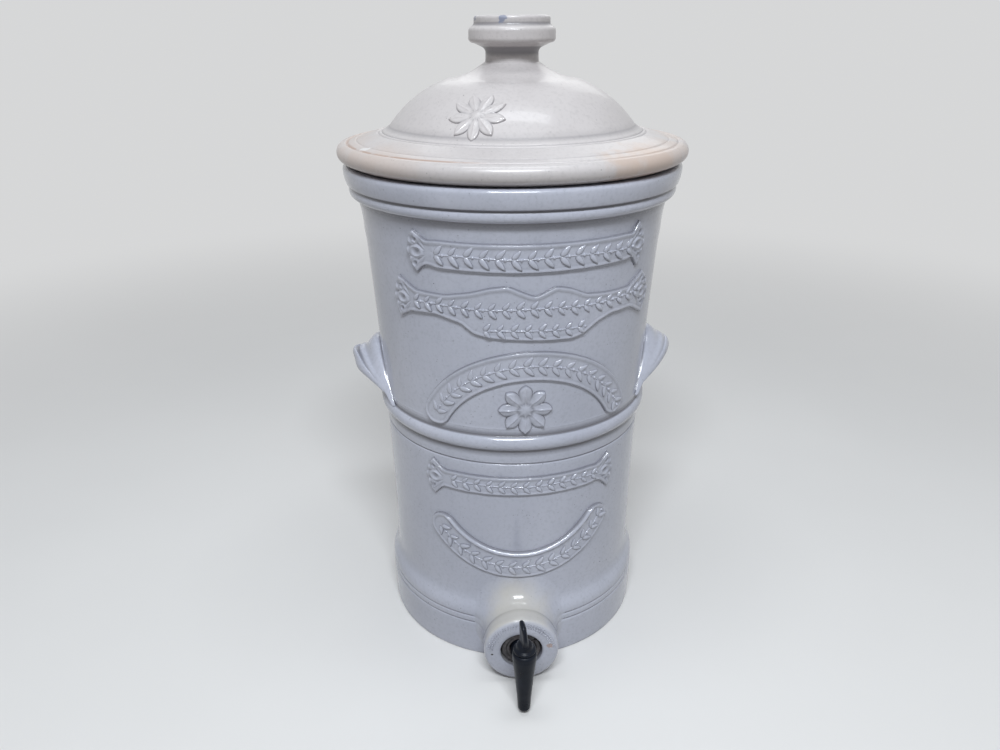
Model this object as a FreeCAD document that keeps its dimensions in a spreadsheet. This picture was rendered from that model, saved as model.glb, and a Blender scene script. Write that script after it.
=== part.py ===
import FreeCAD, Part

import math
import os

import Sketcher

# Stoneware gravity water filter: a salt-glazed crock with two lug handles and
# applied relief, a domed lid, a charcoal block on a partition plate inside,
# and a plug tap held in a bored boss by a rubber bung.
# Millimetres, +Z up, the tap towards -Y, the origin on the crock's axis at the
# level of its underside. Radii are measured from the crock's axis.

driving_sizes = {
    # Crock, outside
    "foot_out": 5.3,
    "foot_draft": 0.5,
    "foot_height": 38.0,
    "foot_edge": 1.5,
    "shoulder_inset": 2.0,
    "shoulder_rise": 7.8,
    "shoulder_round": 16.2,
    "foot_cove_rise": 12.2,
    "foot_cove_round": 25.0,
    "wall_foot_radius": 98.4,
    "wall_lean": 9.2,
    "wall_top_height": 320.0,
    "lower_foot_line": 30.3,
    "upper_foot_line": 36.0,
    "wall_line_drop": 17.1,
    "line_width": 1.6,
    "line_depth": 0.7,
    "rib_rise": 13.1,
    "rib_width": 11.4,
    "rib_proud": 3.6,
    # Crock, rim
    "cove_out": 4.4,
    "cove_rise": 20.6,
    "cove_round": 60.0,
    "bead_out": 3.9,
    "bead_rise": 12.2,
    "bead_round": 8.4,
    "band_step": 0.7,
    "band_step_rise": 1.4,
    "band_out": 3.4,
    "band_rise": 12.6,
    "rim_edge": 3.0,
    "band_round": 25.0,
    "rim_width": 20.0,
    "mouth_depth": 22.0,
    "mouth_edge": 1.5,
    # Crock, inside
    "wall_thickness": 9.8,
    "floor_thickness": 12.0,
    "floor_round": 8.0,
    "ledge_width": 10.5,
    "ledge_height": 176.0,
    "ledge_lip": 7.0,
    "ledge_taper": 14.0,
    # Lug handles
    "handle_rise": 31.9,
    "handle_stagger": 8.0,
    "handle_reach": 25.0,
    "handle_round": 16.5,
    "handle_half_length": 44.0,
    "handle_droop": 24.0,
    "handle_tail_round": 3.5,
    "channel_round": 8.0,
    "channel_depth": 4.5,
    "channel_wall_gap": 1.0,
    # Applied relief
    "relief": 2.4,
    "ear_tip_share": 0.72,
    "band_cap_share": 1.02,
    "top_banner_rise": 3.0,
    "top_banner_across": 5.8,
    "top_banner_half_length": 62.0,
    "top_banner_half_width": 9.8,
    "top_banner_ear": 14.5,
    "top_banner_ear_spread": 14.5,
    "middle_banner_drop": 32.5,
    "middle_banner_across": 3.0,
    "middle_banner_half_length": 72.0,
    "middle_banner_half_width": 7.5,
    "middle_banner_ear": 13.0,
    "middle_banner_ear_spread": 15.0,
    "middle_banner_swell": 9.5,
    "middle_banner_hump": 17.5,
    "middle_banner_hump_reach": 16.2,
    "middle_banner_belly": 21.0,
    "middle_banner_belly_floor": 29.4,
    "middle_banner_belly_reach": 42.0,
    "arch_across": 6.3,
    "arch_drop": 8.7,
    "arch_radius": 67.9,
    "arch_half_width": 10.8,
    "arch_half_angle": 66.5,
    "rosette_across": 3.5,
    "rosette_rise": 26.7,
    "rosette_radius": 19.0,
    "rosette_hub": 5.5,
    "petal_round": 13.0,
    "petal_count": 8,
    "lower_banner_drop": 34.9,
    "lower_banner_across": 1.5,
    "lower_banner_half_length": 51.5,
    "lower_banner_half_width": 7.8,
    "lower_banner_ear": 16.0,
    "lower_banner_ear_spread": 15.5,
    "swag_across": 0.4,
    "swag_drop": 33.2,
    "swag_radius": 70.4,
    "swag_half_width": 11.7,
    "swag_half_angle": 61.0,
    # Lid
    "seat_gap": 0.3,
    "lid_overhang": 1.3,
    "lid_lip_rise": 2.2,
    "lid_undercut": 7.0,
    "lid_roll_height": 8.8,
    "lid_roll_inset": 3.4,
    "lid_roll_round": 4.85,
    "flange_rise": 6.2,
    "flange_width": 29.6,
    "dome_foot_rise": 4.4,
    "dome_foot_inset": 5.7,
    "crown_radius": 46.0,
    "dome_rise": 29.5,
    "dome_round": 92.0,
    "crown_round": 36.6,
    "neck_radius": 18.6,
    "crown_rise": 12.8,
    "lid_thickness": 9.0,
    "spigot_clearance": 1.4,
    "spigot_thickness": 8.6,
    "spigot_depth": 12.0,
    "spigot_edge": 1.2,
    "knob_waist_radius": 18.2,
    "knob_waist_height": 7.0,
    "knob_flare_radius": 25.7,
    "knob_flare_height": 12.5,
    "knob_flare_round": 8.0,
    "knob_bulge_radius": 27.9,
    "knob_bulge_height": 21.0,
    "knob_bulge_round": 5.0,
    "knob_band_radius": 26.2,
    "knob_band_height": 23.0,
    "knob_height": 29.0,
    "knob_edge": 2.0,
    "crown_thickness": 17.0,
    "flower_across": -24.0,
    "flower_forward": 67.5,
    "flower_radius": 15.5,
    "flower_hub": 4.5,
    # Partition and its seal
    "gasket_thickness": 2.5,
    "gasket_inset": 1.2,
    "plate_clearance": 0.9,
    "plate_thickness": 12.0,
    "plate_edge": 1.5,
    # Charcoal element
    "washer_thickness": 2.0,
    "washer_radius": 19.0,
    "cup_radius": 51.0,
    "cup_wall": 4.8,
    "cup_floor": 8.0,
    "cup_height": 20.0,
    "cup_edge": 1.5,
    "block_clearance": 0.4,
    "block_side_height": 64.0,
    "block_height": 92.0,
    "block_bore_depth": 62.0,
    "stem_radius": 7.5,
    "stem_bore_radius": 2.6,
    "stem_clearance": 0.4,
    "stem_tail": 33.0,
    "collar_radius": 14.0,
    "collar_thickness": 3.0,
    "nipple_radius": 5.6,
    "nipple_height": 12.0,
    "nut_radius": 13.0,
    "nut_height": 9.0,
    "wing_reach": 27.0,
    "wing_height": 14.0,
    "wing_thickness": 5.0,
    "wing_edge": 4.0,
    # Air vent
    "vent_offset": 70.0,
    "vent_radius": 4.5,
    "vent_bore_radius": 2.4,
    "vent_top": 106.0,
    "vent_tail": 8.0,
    "vent_collar_radius": 8.5,
    "vent_collar_thickness": 3.0,
    "vent_washer_thickness": 1.5,
    # Tap boss and bung
    "tap_height": 29.0,
    "boss_radius": 27.2,
    "boss_stand": 25.3,
    "boss_bevel": 1.0,
    "boss_bevel_width": 6.0,
    "boss_straight": 13.0,
    "boss_flare_radius": 44.0,
    "boss_flare_depth": 10.7,
    "boss_flare_round": 24.0,
    "bore_mouth_gap": 0.6,
    "bung_recess": 3.0,
    "bung_outer_radius": 15.0,
    "bung_inner_radius": 14.0,
    "bung_length": 42.0,
    # Tap
    "tap_stand": 29.0,
    "shank_radius": 8.0,
    "shank_tail_radius": 6.8,
    "shank_tail": 4.0,
    "waterway_radius": 2.4,
    "spout_height": 4.5,
    "spout_radius": 4.25,
    "spout_rise": 15.0,
    "spout_flare": 0.6,
    "barrel_waist_radius": 6.9,
    "barrel_waist_height": 38.0,
    "barrel_radius": 8.6,
    "barrel_height": 57.0,
    "barrel_edge": 1.6,
    "barrel_cap_height": 4.8,
    "plug_top_radius": 5.4,
    "plug_foot_radius": 4.0,
    "plug_foot_height": 16.0,
    "plug_clearance": 0.05,
    "key_collar_radius": 6.8,
    "key_collar_height": 1.6,
    "key_head_radius": 5.4,
    "key_head_height": 8.0,
    "key_head_dome": 3.6,
    "key_angle": 8.0,
    "blade_thickness": 4.0,
    "blade_foot_half_width": 4.2,
    "blade_half_width": 8.0,
    "blade_rise": 12.5,
    "blade_height": 23.5,
    "blade_round": 9.4,
}

doc = FreeCAD.newDocument("GravityWaterFilter")
sheet = doc.addObject("Spreadsheet::Sheet", "Sizes")
for row, (word, value) in enumerate(driving_sizes.items(), start=1):
    sheet.set(f"A{row}", word.replace("_", " "))
    sheet.set(f"B{row}", str(value))
    sheet.setAlias(f"B{row}", word)
doc.recompute()


# A size that knows its number now and its formula in the sheet's words.
class Size:
    def __init__(self, number, formula):
        self.number = number
        self.formula = formula

    def __add__(self, other):
        other = as_size(other)
        return Size(self.number + other.number, f"({self.formula} + {other.formula})")

    def __sub__(self, other):
        other = as_size(other)
        return Size(self.number - other.number, f"({self.formula} - {other.formula})")

    def __mul__(self, other):
        other = as_size(other)
        return Size(self.number * other.number, f"({self.formula} * {other.formula})")

    def __truediv__(self, other):
        other = as_size(other)
        return Size(self.number / other.number, f"({self.formula} / {other.formula})")

    def __radd__(self, other):
        return as_size(other) + self

    def __rsub__(self, other):
        return as_size(other) - self

    def __rmul__(self, other):
        return as_size(other) * self

    def __neg__(self):
        return Size(-self.number, f"(-1 * {self.formula})")

    def root(self):
        return Size(math.sqrt(self.number), f"sqrt({self.formula})")

    def sine(self):
        return Size(math.sin(math.radians(self.number)), f"sin({self.formula})")

    def cosine(self):
        return Size(math.cos(math.radians(self.number)), f"cos({self.formula})")


def as_size(value):
    return value if isinstance(value, Size) else Size(value, f"({value})")


class Sizes:
    pass


sizes = Sizes()
for word, value in driving_sizes.items():
    setattr(sizes, word, Size(value, f"Sizes.{word}"))


def bind(target, path, value):
    target.setExpression(path, as_size(value).formula)


# Radius of the arc that spans a chord's half length with a given bulge.
def bulge_radius(half_chord, bulge):
    return (half_chord * half_chord + bulge * bulge) / (2 * bulge)


def new_body(label):
    body = doc.addObject("PartDesign::Body", label)
    body.Label = label
    return body


def lift(body, height):
    bind(body, "Placement.Base.z", height)


def new_sketch(body, role, name, across=0, up=0, forward=0):
    plane = next(item for item in body.Origin.OriginFeatures if item.Role == role)
    sketch = body.newObject("Sketcher::SketchObject", name)
    sketch.AttachmentSupport = [(plane, "")]
    sketch.MapMode = "FlatFace"
    bind(sketch, "AttachmentOffset.Base.x", across)
    bind(sketch, "AttachmentOffset.Base.y", up)
    bind(sketch, "AttachmentOffset.Base.z", forward)
    return sketch


def arc_through(start, end, radius):
    chord = end - start
    half = chord.Length / 2
    bulge = abs(radius) - math.sqrt(radius * radius - half * half)
    side = FreeCAD.Vector(chord.y, -chord.x, 0).normalize()
    if radius < 0:
        side = -side
    middle = (start + end) / 2 + side * bulge
    return Part.Arc(start, middle, end)


# Draws a closed outline. Each corner is (x, y), or (x, y, radius) where the
# stretch that arrives there is an arc: a positive radius turns left, a negative
# one turns right.
def draw_outline(sketch, corners):
    corners = [[as_size(value) for value in corner] for corner in corners]
    points = [FreeCAD.Vector(corner[0].number, corner[1].number, 0) for corner in corners]
    constraints = []
    formulas = []
    joints = []
    for index, point in enumerate(points):
        arriving = corners[(index + 1) % len(corners)]
        following = points[(index + 1) % len(points)]
        if len(arriving) == 3:
            edge = arc_through(point, following, arriving[2].number)
        else:
            edge = Part.LineSegment(point, following)
        number = sketch.addGeometry(edge, False)
        first_is_start = (sketch.getPoint(number, 1) - point).Length < 1e-6
        near, far = (1, 2) if first_is_start else (2, 1)
        joints.append((number, near, far))
        if len(arriving) == 3:
            radius = arriving[2] if arriving[2].number > 0 else -arriving[2]
            constraints.append(Sketcher.Constraint("Radius", number, radius.number))
            formulas.append(radius.formula)
    for index, (number, near, far) in enumerate(joints):
        after, after_near, _ = joints[(index + 1) % len(joints)]
        constraints.append(Sketcher.Constraint("Coincident", number, far, after, after_near))
        formulas.append(None)
        across, up = corners[index][0], corners[index][1]
        constraints.append(Sketcher.Constraint("DistanceX", -1, 1, number, near, across.number))
        formulas.append(across.formula)
        constraints.append(Sketcher.Constraint("DistanceY", -1, 1, number, near, up.number))
        formulas.append(up.formula)
    first = sketch.ConstraintCount
    sketch.addConstraint(constraints)
    for index, formula in enumerate(formulas):
        if formula:
            sketch.setExpression(f"Constraints[{first + index}]", formula)


def draw_circle(sketch, across, up, radius):
    across, up, radius = as_size(across), as_size(up), as_size(radius)
    centre = FreeCAD.Vector(across.number, up.number, 0)
    circle = Part.Circle(centre, FreeCAD.Vector(0, 0, 1), radius.number)
    number = sketch.addGeometry(circle, False)
    first = sketch.ConstraintCount
    sketch.addConstraint([
        Sketcher.Constraint("DistanceX", -1, 1, number, 3, across.number),
        Sketcher.Constraint("DistanceY", -1, 1, number, 3, up.number),
        Sketcher.Constraint("Radius", number, radius.number),
    ])
    for index, value in enumerate((across, up, radius)):
        sketch.setExpression(f"Constraints[{first + index}]", value.formula)


def spin(body, kind, sketch, name, axis="V_Axis"):
    feature = body.newObject(f"PartDesign::{kind}", name)
    feature.Profile = sketch
    feature.ReferenceAxis = (sketch, [axis])
    feature.Angle = 360
    sketch.Visibility = False
    return feature


def push(body, kind, sketch, name, length, midplane=False, reverse=False):
    feature = body.newObject(f"PartDesign::{kind}", name)
    feature.Profile = sketch
    bind(feature, "Length", length)
    feature.Midplane = midplane
    feature.Reversed = reverse
    sketch.Visibility = False
    return feature


def turned(label, corners):
    body = new_body(label)
    sketch = new_sketch(body, "YZ_Plane", f"{label}_profile")
    draw_outline(sketch, corners)
    spin(body, "Revolution", sketch, f"{label}_turned")
    return body


# Outside of the crock: radii and heights follow one another from the foot to the rim

foot_radius = sizes.wall_foot_radius + sizes.foot_out
base_radius = foot_radius - sizes.foot_draft
wall_foot_height = sizes.foot_height + sizes.shoulder_rise + sizes.foot_cove_rise
wall_rise = sizes.wall_top_height - wall_foot_height
wall_bow = bulge_radius(wall_rise, sizes.wall_lean)
wall_top_radius = sizes.wall_foot_radius + sizes.wall_lean
cove_radius = wall_top_radius + sizes.cove_out
cove_height = sizes.wall_top_height + sizes.cove_rise
bead_top_radius = cove_radius + sizes.bead_out
bead_top_height = cove_height + sizes.bead_rise
band_foot_radius = bead_top_radius + sizes.band_step
band_foot_height = bead_top_height + sizes.band_step_rise
rim_radius = band_foot_radius + sizes.band_out
rim_height = band_foot_height + sizes.band_rise
mouth_radius = rim_radius - sizes.rim_width
rib_height = sizes.ledge_height + sizes.rib_rise
wall_line = rib_height - sizes.wall_line_drop
boss_reach = foot_radius + sizes.boss_stand


# The wall leans out along one long arc that starts upright above the foot.
def wall_at(height):
    climb = height - wall_foot_height
    return sizes.wall_foot_radius + wall_bow - (wall_bow * wall_bow - climb * climb).root()


def foot_at(height):
    lean = foot_radius - base_radius
    return base_radius + lean * height / sizes.foot_height


def incised_line(radius_at, height):
    low = height - sizes.line_width / 2
    high = height + sizes.line_width / 2
    round_size = bulge_radius(sizes.line_width / 2, sizes.line_depth)
    return [(radius_at(low), low), (radius_at(high), high, -round_size)]


def crock_outside():
    rib_low = rib_height - sizes.rib_width / 2
    rib_high = rib_height + sizes.rib_width / 2
    rib_round = bulge_radius(sizes.rib_width / 2, sizes.rib_proud)
    lower_middle = (wall_foot_height + wall_line) / 2
    upper_middle = (rib_height + sizes.wall_top_height) / 2
    shoulder_height = sizes.foot_height + sizes.shoulder_rise
    return [
        (base_radius - sizes.foot_edge, 0),
        (base_radius, sizes.foot_edge, sizes.foot_edge),
        *incised_line(foot_at, sizes.lower_foot_line),
        *incised_line(foot_at, sizes.upper_foot_line),
        (foot_radius, sizes.foot_height),
        (foot_radius - sizes.shoulder_inset, shoulder_height, sizes.shoulder_round),
        (sizes.wall_foot_radius, wall_foot_height, -sizes.foot_cove_round),
        (wall_at(lower_middle), lower_middle),
        *incised_line(wall_at, wall_line),
        (wall_at(rib_low), rib_low),
        (wall_at(rib_high), rib_high, rib_round),
        (wall_at(upper_middle), upper_middle),
        (wall_top_radius, sizes.wall_top_height),
        (cove_radius, cove_height, -sizes.cove_round),
        (bead_top_radius, bead_top_height, sizes.bead_round),
        (band_foot_radius, band_foot_height),
        (rim_radius, rim_height - sizes.rim_edge, sizes.band_round),
        (rim_radius - sizes.rim_edge, rim_height, sizes.rim_edge),
    ]


ledge_outer = wall_at(sizes.ledge_height) - sizes.wall_thickness
ledge_radius = ledge_outer - sizes.ledge_width


def crock_inside():
    lower_radius = sizes.wall_foot_radius - sizes.wall_thickness
    lip_height = sizes.ledge_height - sizes.ledge_lip
    taper_height = lip_height - sizes.ledge_taper
    mouth_foot = rim_height - sizes.mouth_depth
    return [
        (mouth_radius + sizes.mouth_edge, rim_height),
        (mouth_radius, rim_height - sizes.mouth_edge, sizes.mouth_edge),
        (mouth_radius, mouth_foot),
        (wall_top_radius - sizes.wall_thickness, sizes.wall_top_height),
        (ledge_outer, sizes.ledge_height),
        (ledge_radius, sizes.ledge_height),
        (ledge_radius, lip_height),
        (lower_radius, taper_height),
        (lower_radius, sizes.floor_thickness + sizes.floor_round),
        (lower_radius - sizes.floor_round, sizes.floor_thickness, -sizes.floor_round),
        (0, sizes.floor_thickness),
        (0, 0),
    ]


# The bung's taper, from the recess at the boss's face into the chamber.
def bung_taper(reach):
    bung_face = boss_reach - sizes.bung_recess
    slope = (sizes.bung_outer_radius - sizes.bung_inner_radius) / sizes.bung_length
    return sizes.bung_outer_radius - (bung_face - reach) * slope


def bore_for_bung(body):
    sketch = new_sketch(body, "YZ_Plane", f"{body.Label}_bore", up=sizes.tap_height)
    inner = boss_reach - sizes.bung_recess - sizes.bung_length
    step = boss_reach - sizes.bung_recess
    outer = boss_reach + sizes.bung_recess
    mouth = sizes.bung_outer_radius + sizes.bore_mouth_gap
    draw_outline(sketch, [
        (-inner, 0),
        (-inner, bung_taper(inner)),
        (-step, bung_taper(step)),
        (-step, mouth),
        (-outer, mouth),
        (-outer, 0),
    ])
    spin(body, "Groove", sketch, f"{body.Label}_bung_bore", "H_Axis")


# Cuts away everything of a body that would lie inside the crock's outside.
def fit_to_crock(body):
    sketch = new_sketch(body, "YZ_Plane", f"{body.Label}_crock_side")
    below = sizes.boss_flare_radius
    clear = boss_reach + sizes.boss_flare_radius
    draw_outline(sketch, [
        (0, -below),
        (clear, -below),
        (clear, 0),
        *crock_outside(),
        (0, rim_height),
    ])
    spin(body, "Groove", sketch, f"{body.Label}_fitted")


# Cuts a body back to the relief's height above the wall.
def trim_to_relief(body, low, high):
    sketch = new_sketch(body, "YZ_Plane", f"{body.Label}_relief_side")
    clear = rim_radius + sizes.boss_flare_radius
    corners = [(wall_at(low) + sizes.relief, low), (clear, low), (clear, high)]
    if high.number > sizes.wall_top_height.number:
        corners.append((cove_radius + sizes.relief, high))
        corners.append((cove_radius + sizes.relief, cove_height))
        corners.append((wall_top_radius + sizes.relief, sizes.wall_top_height))
    else:
        corners.append((wall_at(high) + sizes.relief, high))
    draw_outline(sketch, corners)
    spin(body, "Groove", sketch, f"{body.Label}_trimmed")


def make_crock():
    body = turned("crock", crock_outside() + crock_inside())
    bore_for_bung(body)


# A lug drawn on the -X side and turned round the crock's axis to its place.
def make_handle(label, turn, height):
    body = new_body(label)
    crock_radius = wall_at(height)
    side_sections = 3
    sketches = []
    for station in range(-side_sections, side_sections + 1):
        offset = sizes.handle_half_length * station / side_sections
        fall = (station / side_sections) ** 2
        depth = (crock_radius * crock_radius - offset * offset).root()
        stand_off = (sizes.handle_reach - sizes.handle_round) * (1 - fall)
        radius = sizes.handle_round - (sizes.handle_round - sizes.handle_tail_round) * fall
        name = f"{label}_section_{station + side_sections}"
        sketch = new_sketch(body, "XZ_Plane", name, forward=offset)
        draw_circle(sketch, -(depth + stand_off), height - sizes.handle_droop * fall, radius)
        sketches.append(sketch)
    loft = body.newObject("PartDesign::AdditiveLoft", f"{label}_lug")
    loft.Profile = sketches[0]
    loft.Sections = sketches[1:]
    channel = new_sketch(body, "YZ_Plane", f"{label}_channel")
    channel_radius = crock_radius + sizes.channel_round + sizes.channel_wall_gap
    channel_height = height + sizes.handle_round + sizes.channel_round - sizes.channel_depth
    draw_circle(channel, channel_radius, channel_height, sizes.channel_round)
    spin(body, "Groove", channel, f"{label}_finger_channel")
    fit_to_crock(body)
    bind(body, "Placement.Rotation.Angle", turn)


# A ribbon with flared ears; extra corners along its top and bottom shape it.
def make_banner(label, across, height, half_length, half_width, ear, spread, top=(), bottom=()):
    body = new_body(label)
    sketch = new_sketch(body, "XZ_Plane", f"{label}_outline", across=across, up=height)
    outer = half_length + ear
    tip = half_length + ear * sizes.ear_tip_share
    draw_outline(sketch, [
        (-half_length, -half_width),
        *bottom,
        (half_length, -half_width),
        (tip, -spread),
        (outer, 0),
        (tip, spread),
        (half_length, half_width),
        *top,
        (-half_length, half_width),
        (-tip, spread),
        (-outer, 0),
        (-tip, -spread),
    ])
    push(body, "Pad", sketch, f"{label}_slab", rim_radius + sizes.relief)
    fit_to_crock(body)
    margin = spread + sizes.middle_banner_belly
    trim_to_relief(body, height - margin, height + margin)


# A band bent to a circle's arc with round ends: up is 1 for an arch that
# stands over its centre and -1 for one that hangs below it.
def make_bent_band(label, up, across, height, radius, half_width, half_angle):
    body = new_body(label)
    sketch = new_sketch(body, "XZ_Plane", f"{label}_outline", across=across, up=height)
    outer = radius + half_width
    inner = radius - half_width
    cap = half_width * sizes.band_cap_share
    outer_end = (outer * half_angle.sine(), outer * half_angle.cosine() * up)
    inner_end = (inner * half_angle.sine(), inner * half_angle.cosine() * up)
    draw_outline(sketch, [
        (0, outer * up, outer * up),
        (-outer_end[0], outer_end[1], outer * up),
        (-inner_end[0], inner_end[1], cap * up),
        (0, inner * up, -inner * up),
        (*inner_end, -inner * up),
        (*outer_end, cap * up),
    ])
    push(body, "Pad", sketch, f"{label}_slab", rim_radius + sizes.relief)
    fit_to_crock(body)
    trim_to_relief(body, height - outer - cap, height + outer + cap)
    return body


# Petals of two arcs each round a hub, pushed along the sketch's own normal.
def add_petals(body, plane, across, up, radius, hub, depth):
    label = body.Label
    sketch = new_sketch(body, plane, f"{label}_petal", across=across, up=up)
    round_size = sizes.petal_round * radius / sizes.rosette_radius
    draw_outline(sketch, [(0, 0, round_size), (radius, 0, round_size)])
    petal = push(body, "Pad", sketch, f"{label}_petal_slab", depth)
    ring = body.newObject("PartDesign::PolarPattern", f"{label}_petals")
    ring.Originals = [petal]
    ring.Axis = (sketch, ["N_Axis"])
    ring.Angle = 360
    bind(ring, "Occurrences", sizes.petal_count)
    body.Tip = ring
    centre = new_sketch(body, plane, f"{label}_hub", across=across, up=up)
    draw_circle(centre, 0, 0, hub)
    push(body, "Pad", centre, f"{label}_hub_slab", depth)


def make_rosette():
    body = new_body("rosette")
    rosette_height = rib_height + sizes.rosette_rise
    add_petals(body, "XZ_Plane", sizes.rosette_across, rosette_height,
               sizes.rosette_radius, sizes.rosette_hub, rim_radius)
    fit_to_crock(body)
    reach = sizes.rosette_radius + sizes.rosette_hub
    trim_to_relief(body, rosette_height - reach, rosette_height + reach)
    return body


# Lid

lid_radius = rim_radius + sizes.lid_overhang
dome_foot_radius = lid_radius - sizes.flange_width
dome_start_radius = dome_foot_radius - sizes.dome_foot_inset
lid_seat = rim_height + sizes.seat_gap
lid_lip = lid_seat + sizes.lid_lip_rise
roll_top = lid_lip + sizes.lid_roll_height
flange_top = roll_top + sizes.flange_rise
dome_start = flange_top + sizes.dome_foot_rise
dome_height = dome_start + sizes.dome_rise
neck_height = dome_height + sizes.crown_rise


# The lid's top surface from the knob's seat out to the lip, raised by an offset.
def lid_outside(offset=0):
    roll_radius = lid_radius - sizes.lid_roll_inset
    line_round = bulge_radius(sizes.line_width / 2, sizes.line_depth)
    return [
        (lid_radius, lid_lip + offset),
        (roll_radius, roll_top + offset, sizes.lid_roll_round),
        (roll_radius - sizes.line_width, roll_top + offset, -line_round),
        (dome_foot_radius + sizes.line_width, flange_top + offset),
        (dome_foot_radius, flange_top + offset, -line_round),
        (dome_start_radius, dome_start + offset),
        (sizes.crown_radius, dome_height + offset, sizes.dome_round),
        (sizes.neck_radius, neck_height + offset, -sizes.crown_round),
    ]


def make_lid():
    spigot_radius = mouth_radius - sizes.spigot_clearance
    spigot_bore = spigot_radius - sizes.spigot_thickness
    spigot_foot = lid_seat - sizes.spigot_depth
    crown = dome_height - sizes.lid_thickness
    turned("lid", [
        (0, neck_height - sizes.crown_thickness),
        (sizes.neck_radius, neck_height - sizes.crown_thickness),
        (sizes.crown_radius, crown),
        (dome_start_radius - sizes.lid_thickness / 2, dome_start - sizes.lid_thickness,
         -sizes.dome_round),
        (spigot_bore, lid_seat + sizes.lid_lip_rise),
        (spigot_bore, spigot_foot),
        (spigot_radius - sizes.spigot_edge, spigot_foot),
        (spigot_radius, spigot_foot + sizes.spigot_edge, sizes.spigot_edge),
        (spigot_radius, lid_seat),
        (lid_radius - sizes.lid_undercut, lid_seat),
        *lid_outside(),
        (0, neck_height),
    ])


def make_knob():
    body = turned("lid_knob", [
        (0, 0),
        (sizes.knob_waist_radius, 0),
        (sizes.knob_waist_radius, sizes.knob_waist_height),
        (sizes.knob_flare_radius, sizes.knob_flare_height, -sizes.knob_flare_round),
        (sizes.knob_bulge_radius, sizes.knob_bulge_height, sizes.knob_bulge_round),
        (sizes.knob_band_radius, sizes.knob_band_height),
        (sizes.knob_band_radius, sizes.knob_height - sizes.knob_edge),
        (sizes.knob_band_radius - sizes.knob_edge, sizes.knob_height, sizes.knob_edge),
        (0, sizes.knob_height),
    ])
    lift(body, neck_height)


def make_flower():
    body = new_body("lid_flower")
    add_petals(body, "XY_Plane", sizes.flower_across, -sizes.flower_forward,
               sizes.flower_radius, sizes.flower_hub, neck_height)
    lid_side = new_sketch(body, "YZ_Plane", "lid_flower_lid_side")
    draw_outline(lid_side, [
        (0, 0),
        (lid_radius, 0),
        *lid_outside(),
        (0, neck_height),
    ])
    spin(body, "Groove", lid_side, "lid_flower_fitted")
    outer_side = new_sketch(body, "YZ_Plane", "lid_flower_relief_side")
    clear = lid_radius + sizes.relief
    high = neck_height + sizes.knob_height
    draw_outline(outer_side, [
        (0, high),
        (clear, high),
        (clear, lid_lip + sizes.relief),
        *lid_outside(sizes.relief),
        (0, neck_height + sizes.relief),
    ])
    spin(body, "Groove", outer_side, "lid_flower_trimmed")


# Partition and charcoal element, each drawn from its own seat

gasket_top = sizes.ledge_height + sizes.gasket_thickness
plate_seat = gasket_top + sizes.seat_gap
plate_top = plate_seat + sizes.plate_thickness
cup_seat = plate_top + sizes.washer_thickness
block_seat = cup_seat + sizes.cup_floor
plate_radius = ledge_outer - sizes.plate_clearance
stem_hole = sizes.stem_radius + sizes.stem_clearance


def ring(label, inner, outer, thickness, seat):
    body = turned(label, [(inner, 0), (outer, 0), (outer, thickness), (inner, thickness)])
    lift(body, seat)
    return body


def make_gasket():
    inner = ledge_radius + sizes.gasket_inset
    ring("plate_gasket", inner, plate_radius, sizes.gasket_thickness, sizes.ledge_height)


def make_plate():
    body = turned("partition_plate", [
        (stem_hole, 0),
        (plate_radius, 0),
        (plate_radius, sizes.plate_thickness - sizes.plate_edge),
        (plate_radius - sizes.plate_edge, sizes.plate_thickness, sizes.plate_edge),
        (stem_hole, sizes.plate_thickness),
    ])
    vent_hole = new_sketch(body, "XY_Plane", "partition_plate_vent_hole")
    draw_circle(vent_hole, 0, sizes.vent_offset, sizes.vent_radius + sizes.stem_clearance)
    push(body, "Pocket", vent_hole, "partition_plate_vent_bore", sizes.plate_thickness, reverse=True)
    lift(body, plate_seat)


def make_cup():
    bore = sizes.cup_radius - sizes.cup_wall
    body = turned("block_cup", [
        (stem_hole, 0),
        (sizes.cup_radius - sizes.cup_edge, 0),
        (sizes.cup_radius, sizes.cup_edge, sizes.cup_edge),
        (sizes.cup_radius, sizes.cup_height - sizes.cup_edge),
        (sizes.cup_radius - sizes.cup_edge, sizes.cup_height, sizes.cup_edge),
        (bore, sizes.cup_height),
        (bore, sizes.cup_floor),
        (stem_hole, sizes.cup_floor),
    ])
    lift(body, cup_seat)


def make_block():
    radius = sizes.cup_radius - sizes.cup_wall - sizes.block_clearance
    recess = sizes.collar_radius + sizes.stem_clearance
    recess_depth = sizes.collar_thickness + sizes.stem_clearance
    bore = sizes.nipple_radius + sizes.stem_clearance
    dome_round = bulge_radius(radius, sizes.block_height - sizes.block_side_height)
    body = turned("charcoal_block", [
        (recess, 0),
        (radius, 0),
        (radius, sizes.block_side_height),
        (0, sizes.block_height, dome_round),
        (0, sizes.block_bore_depth),
        (bore, sizes.block_bore_depth),
        (bore, recess_depth),
        (recess, recess_depth),
    ])
    lift(body, block_seat)


def make_stem():
    below_cup = sizes.washer_thickness * 2 + sizes.plate_thickness + sizes.nut_height
    length = sizes.cup_floor + below_cup + sizes.stem_tail
    body = turned("filter_stem", [
        (sizes.stem_bore_radius, -length),
        (sizes.stem_radius, -length),
        (sizes.stem_radius, 0),
        (sizes.collar_radius, 0),
        (sizes.collar_radius, sizes.collar_thickness),
        (sizes.nipple_radius, sizes.collar_thickness),
        (sizes.nipple_radius, sizes.collar_thickness + sizes.nipple_height),
        (sizes.stem_bore_radius, sizes.collar_thickness + sizes.nipple_height),
    ])
    lift(body, block_seat)


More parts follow.
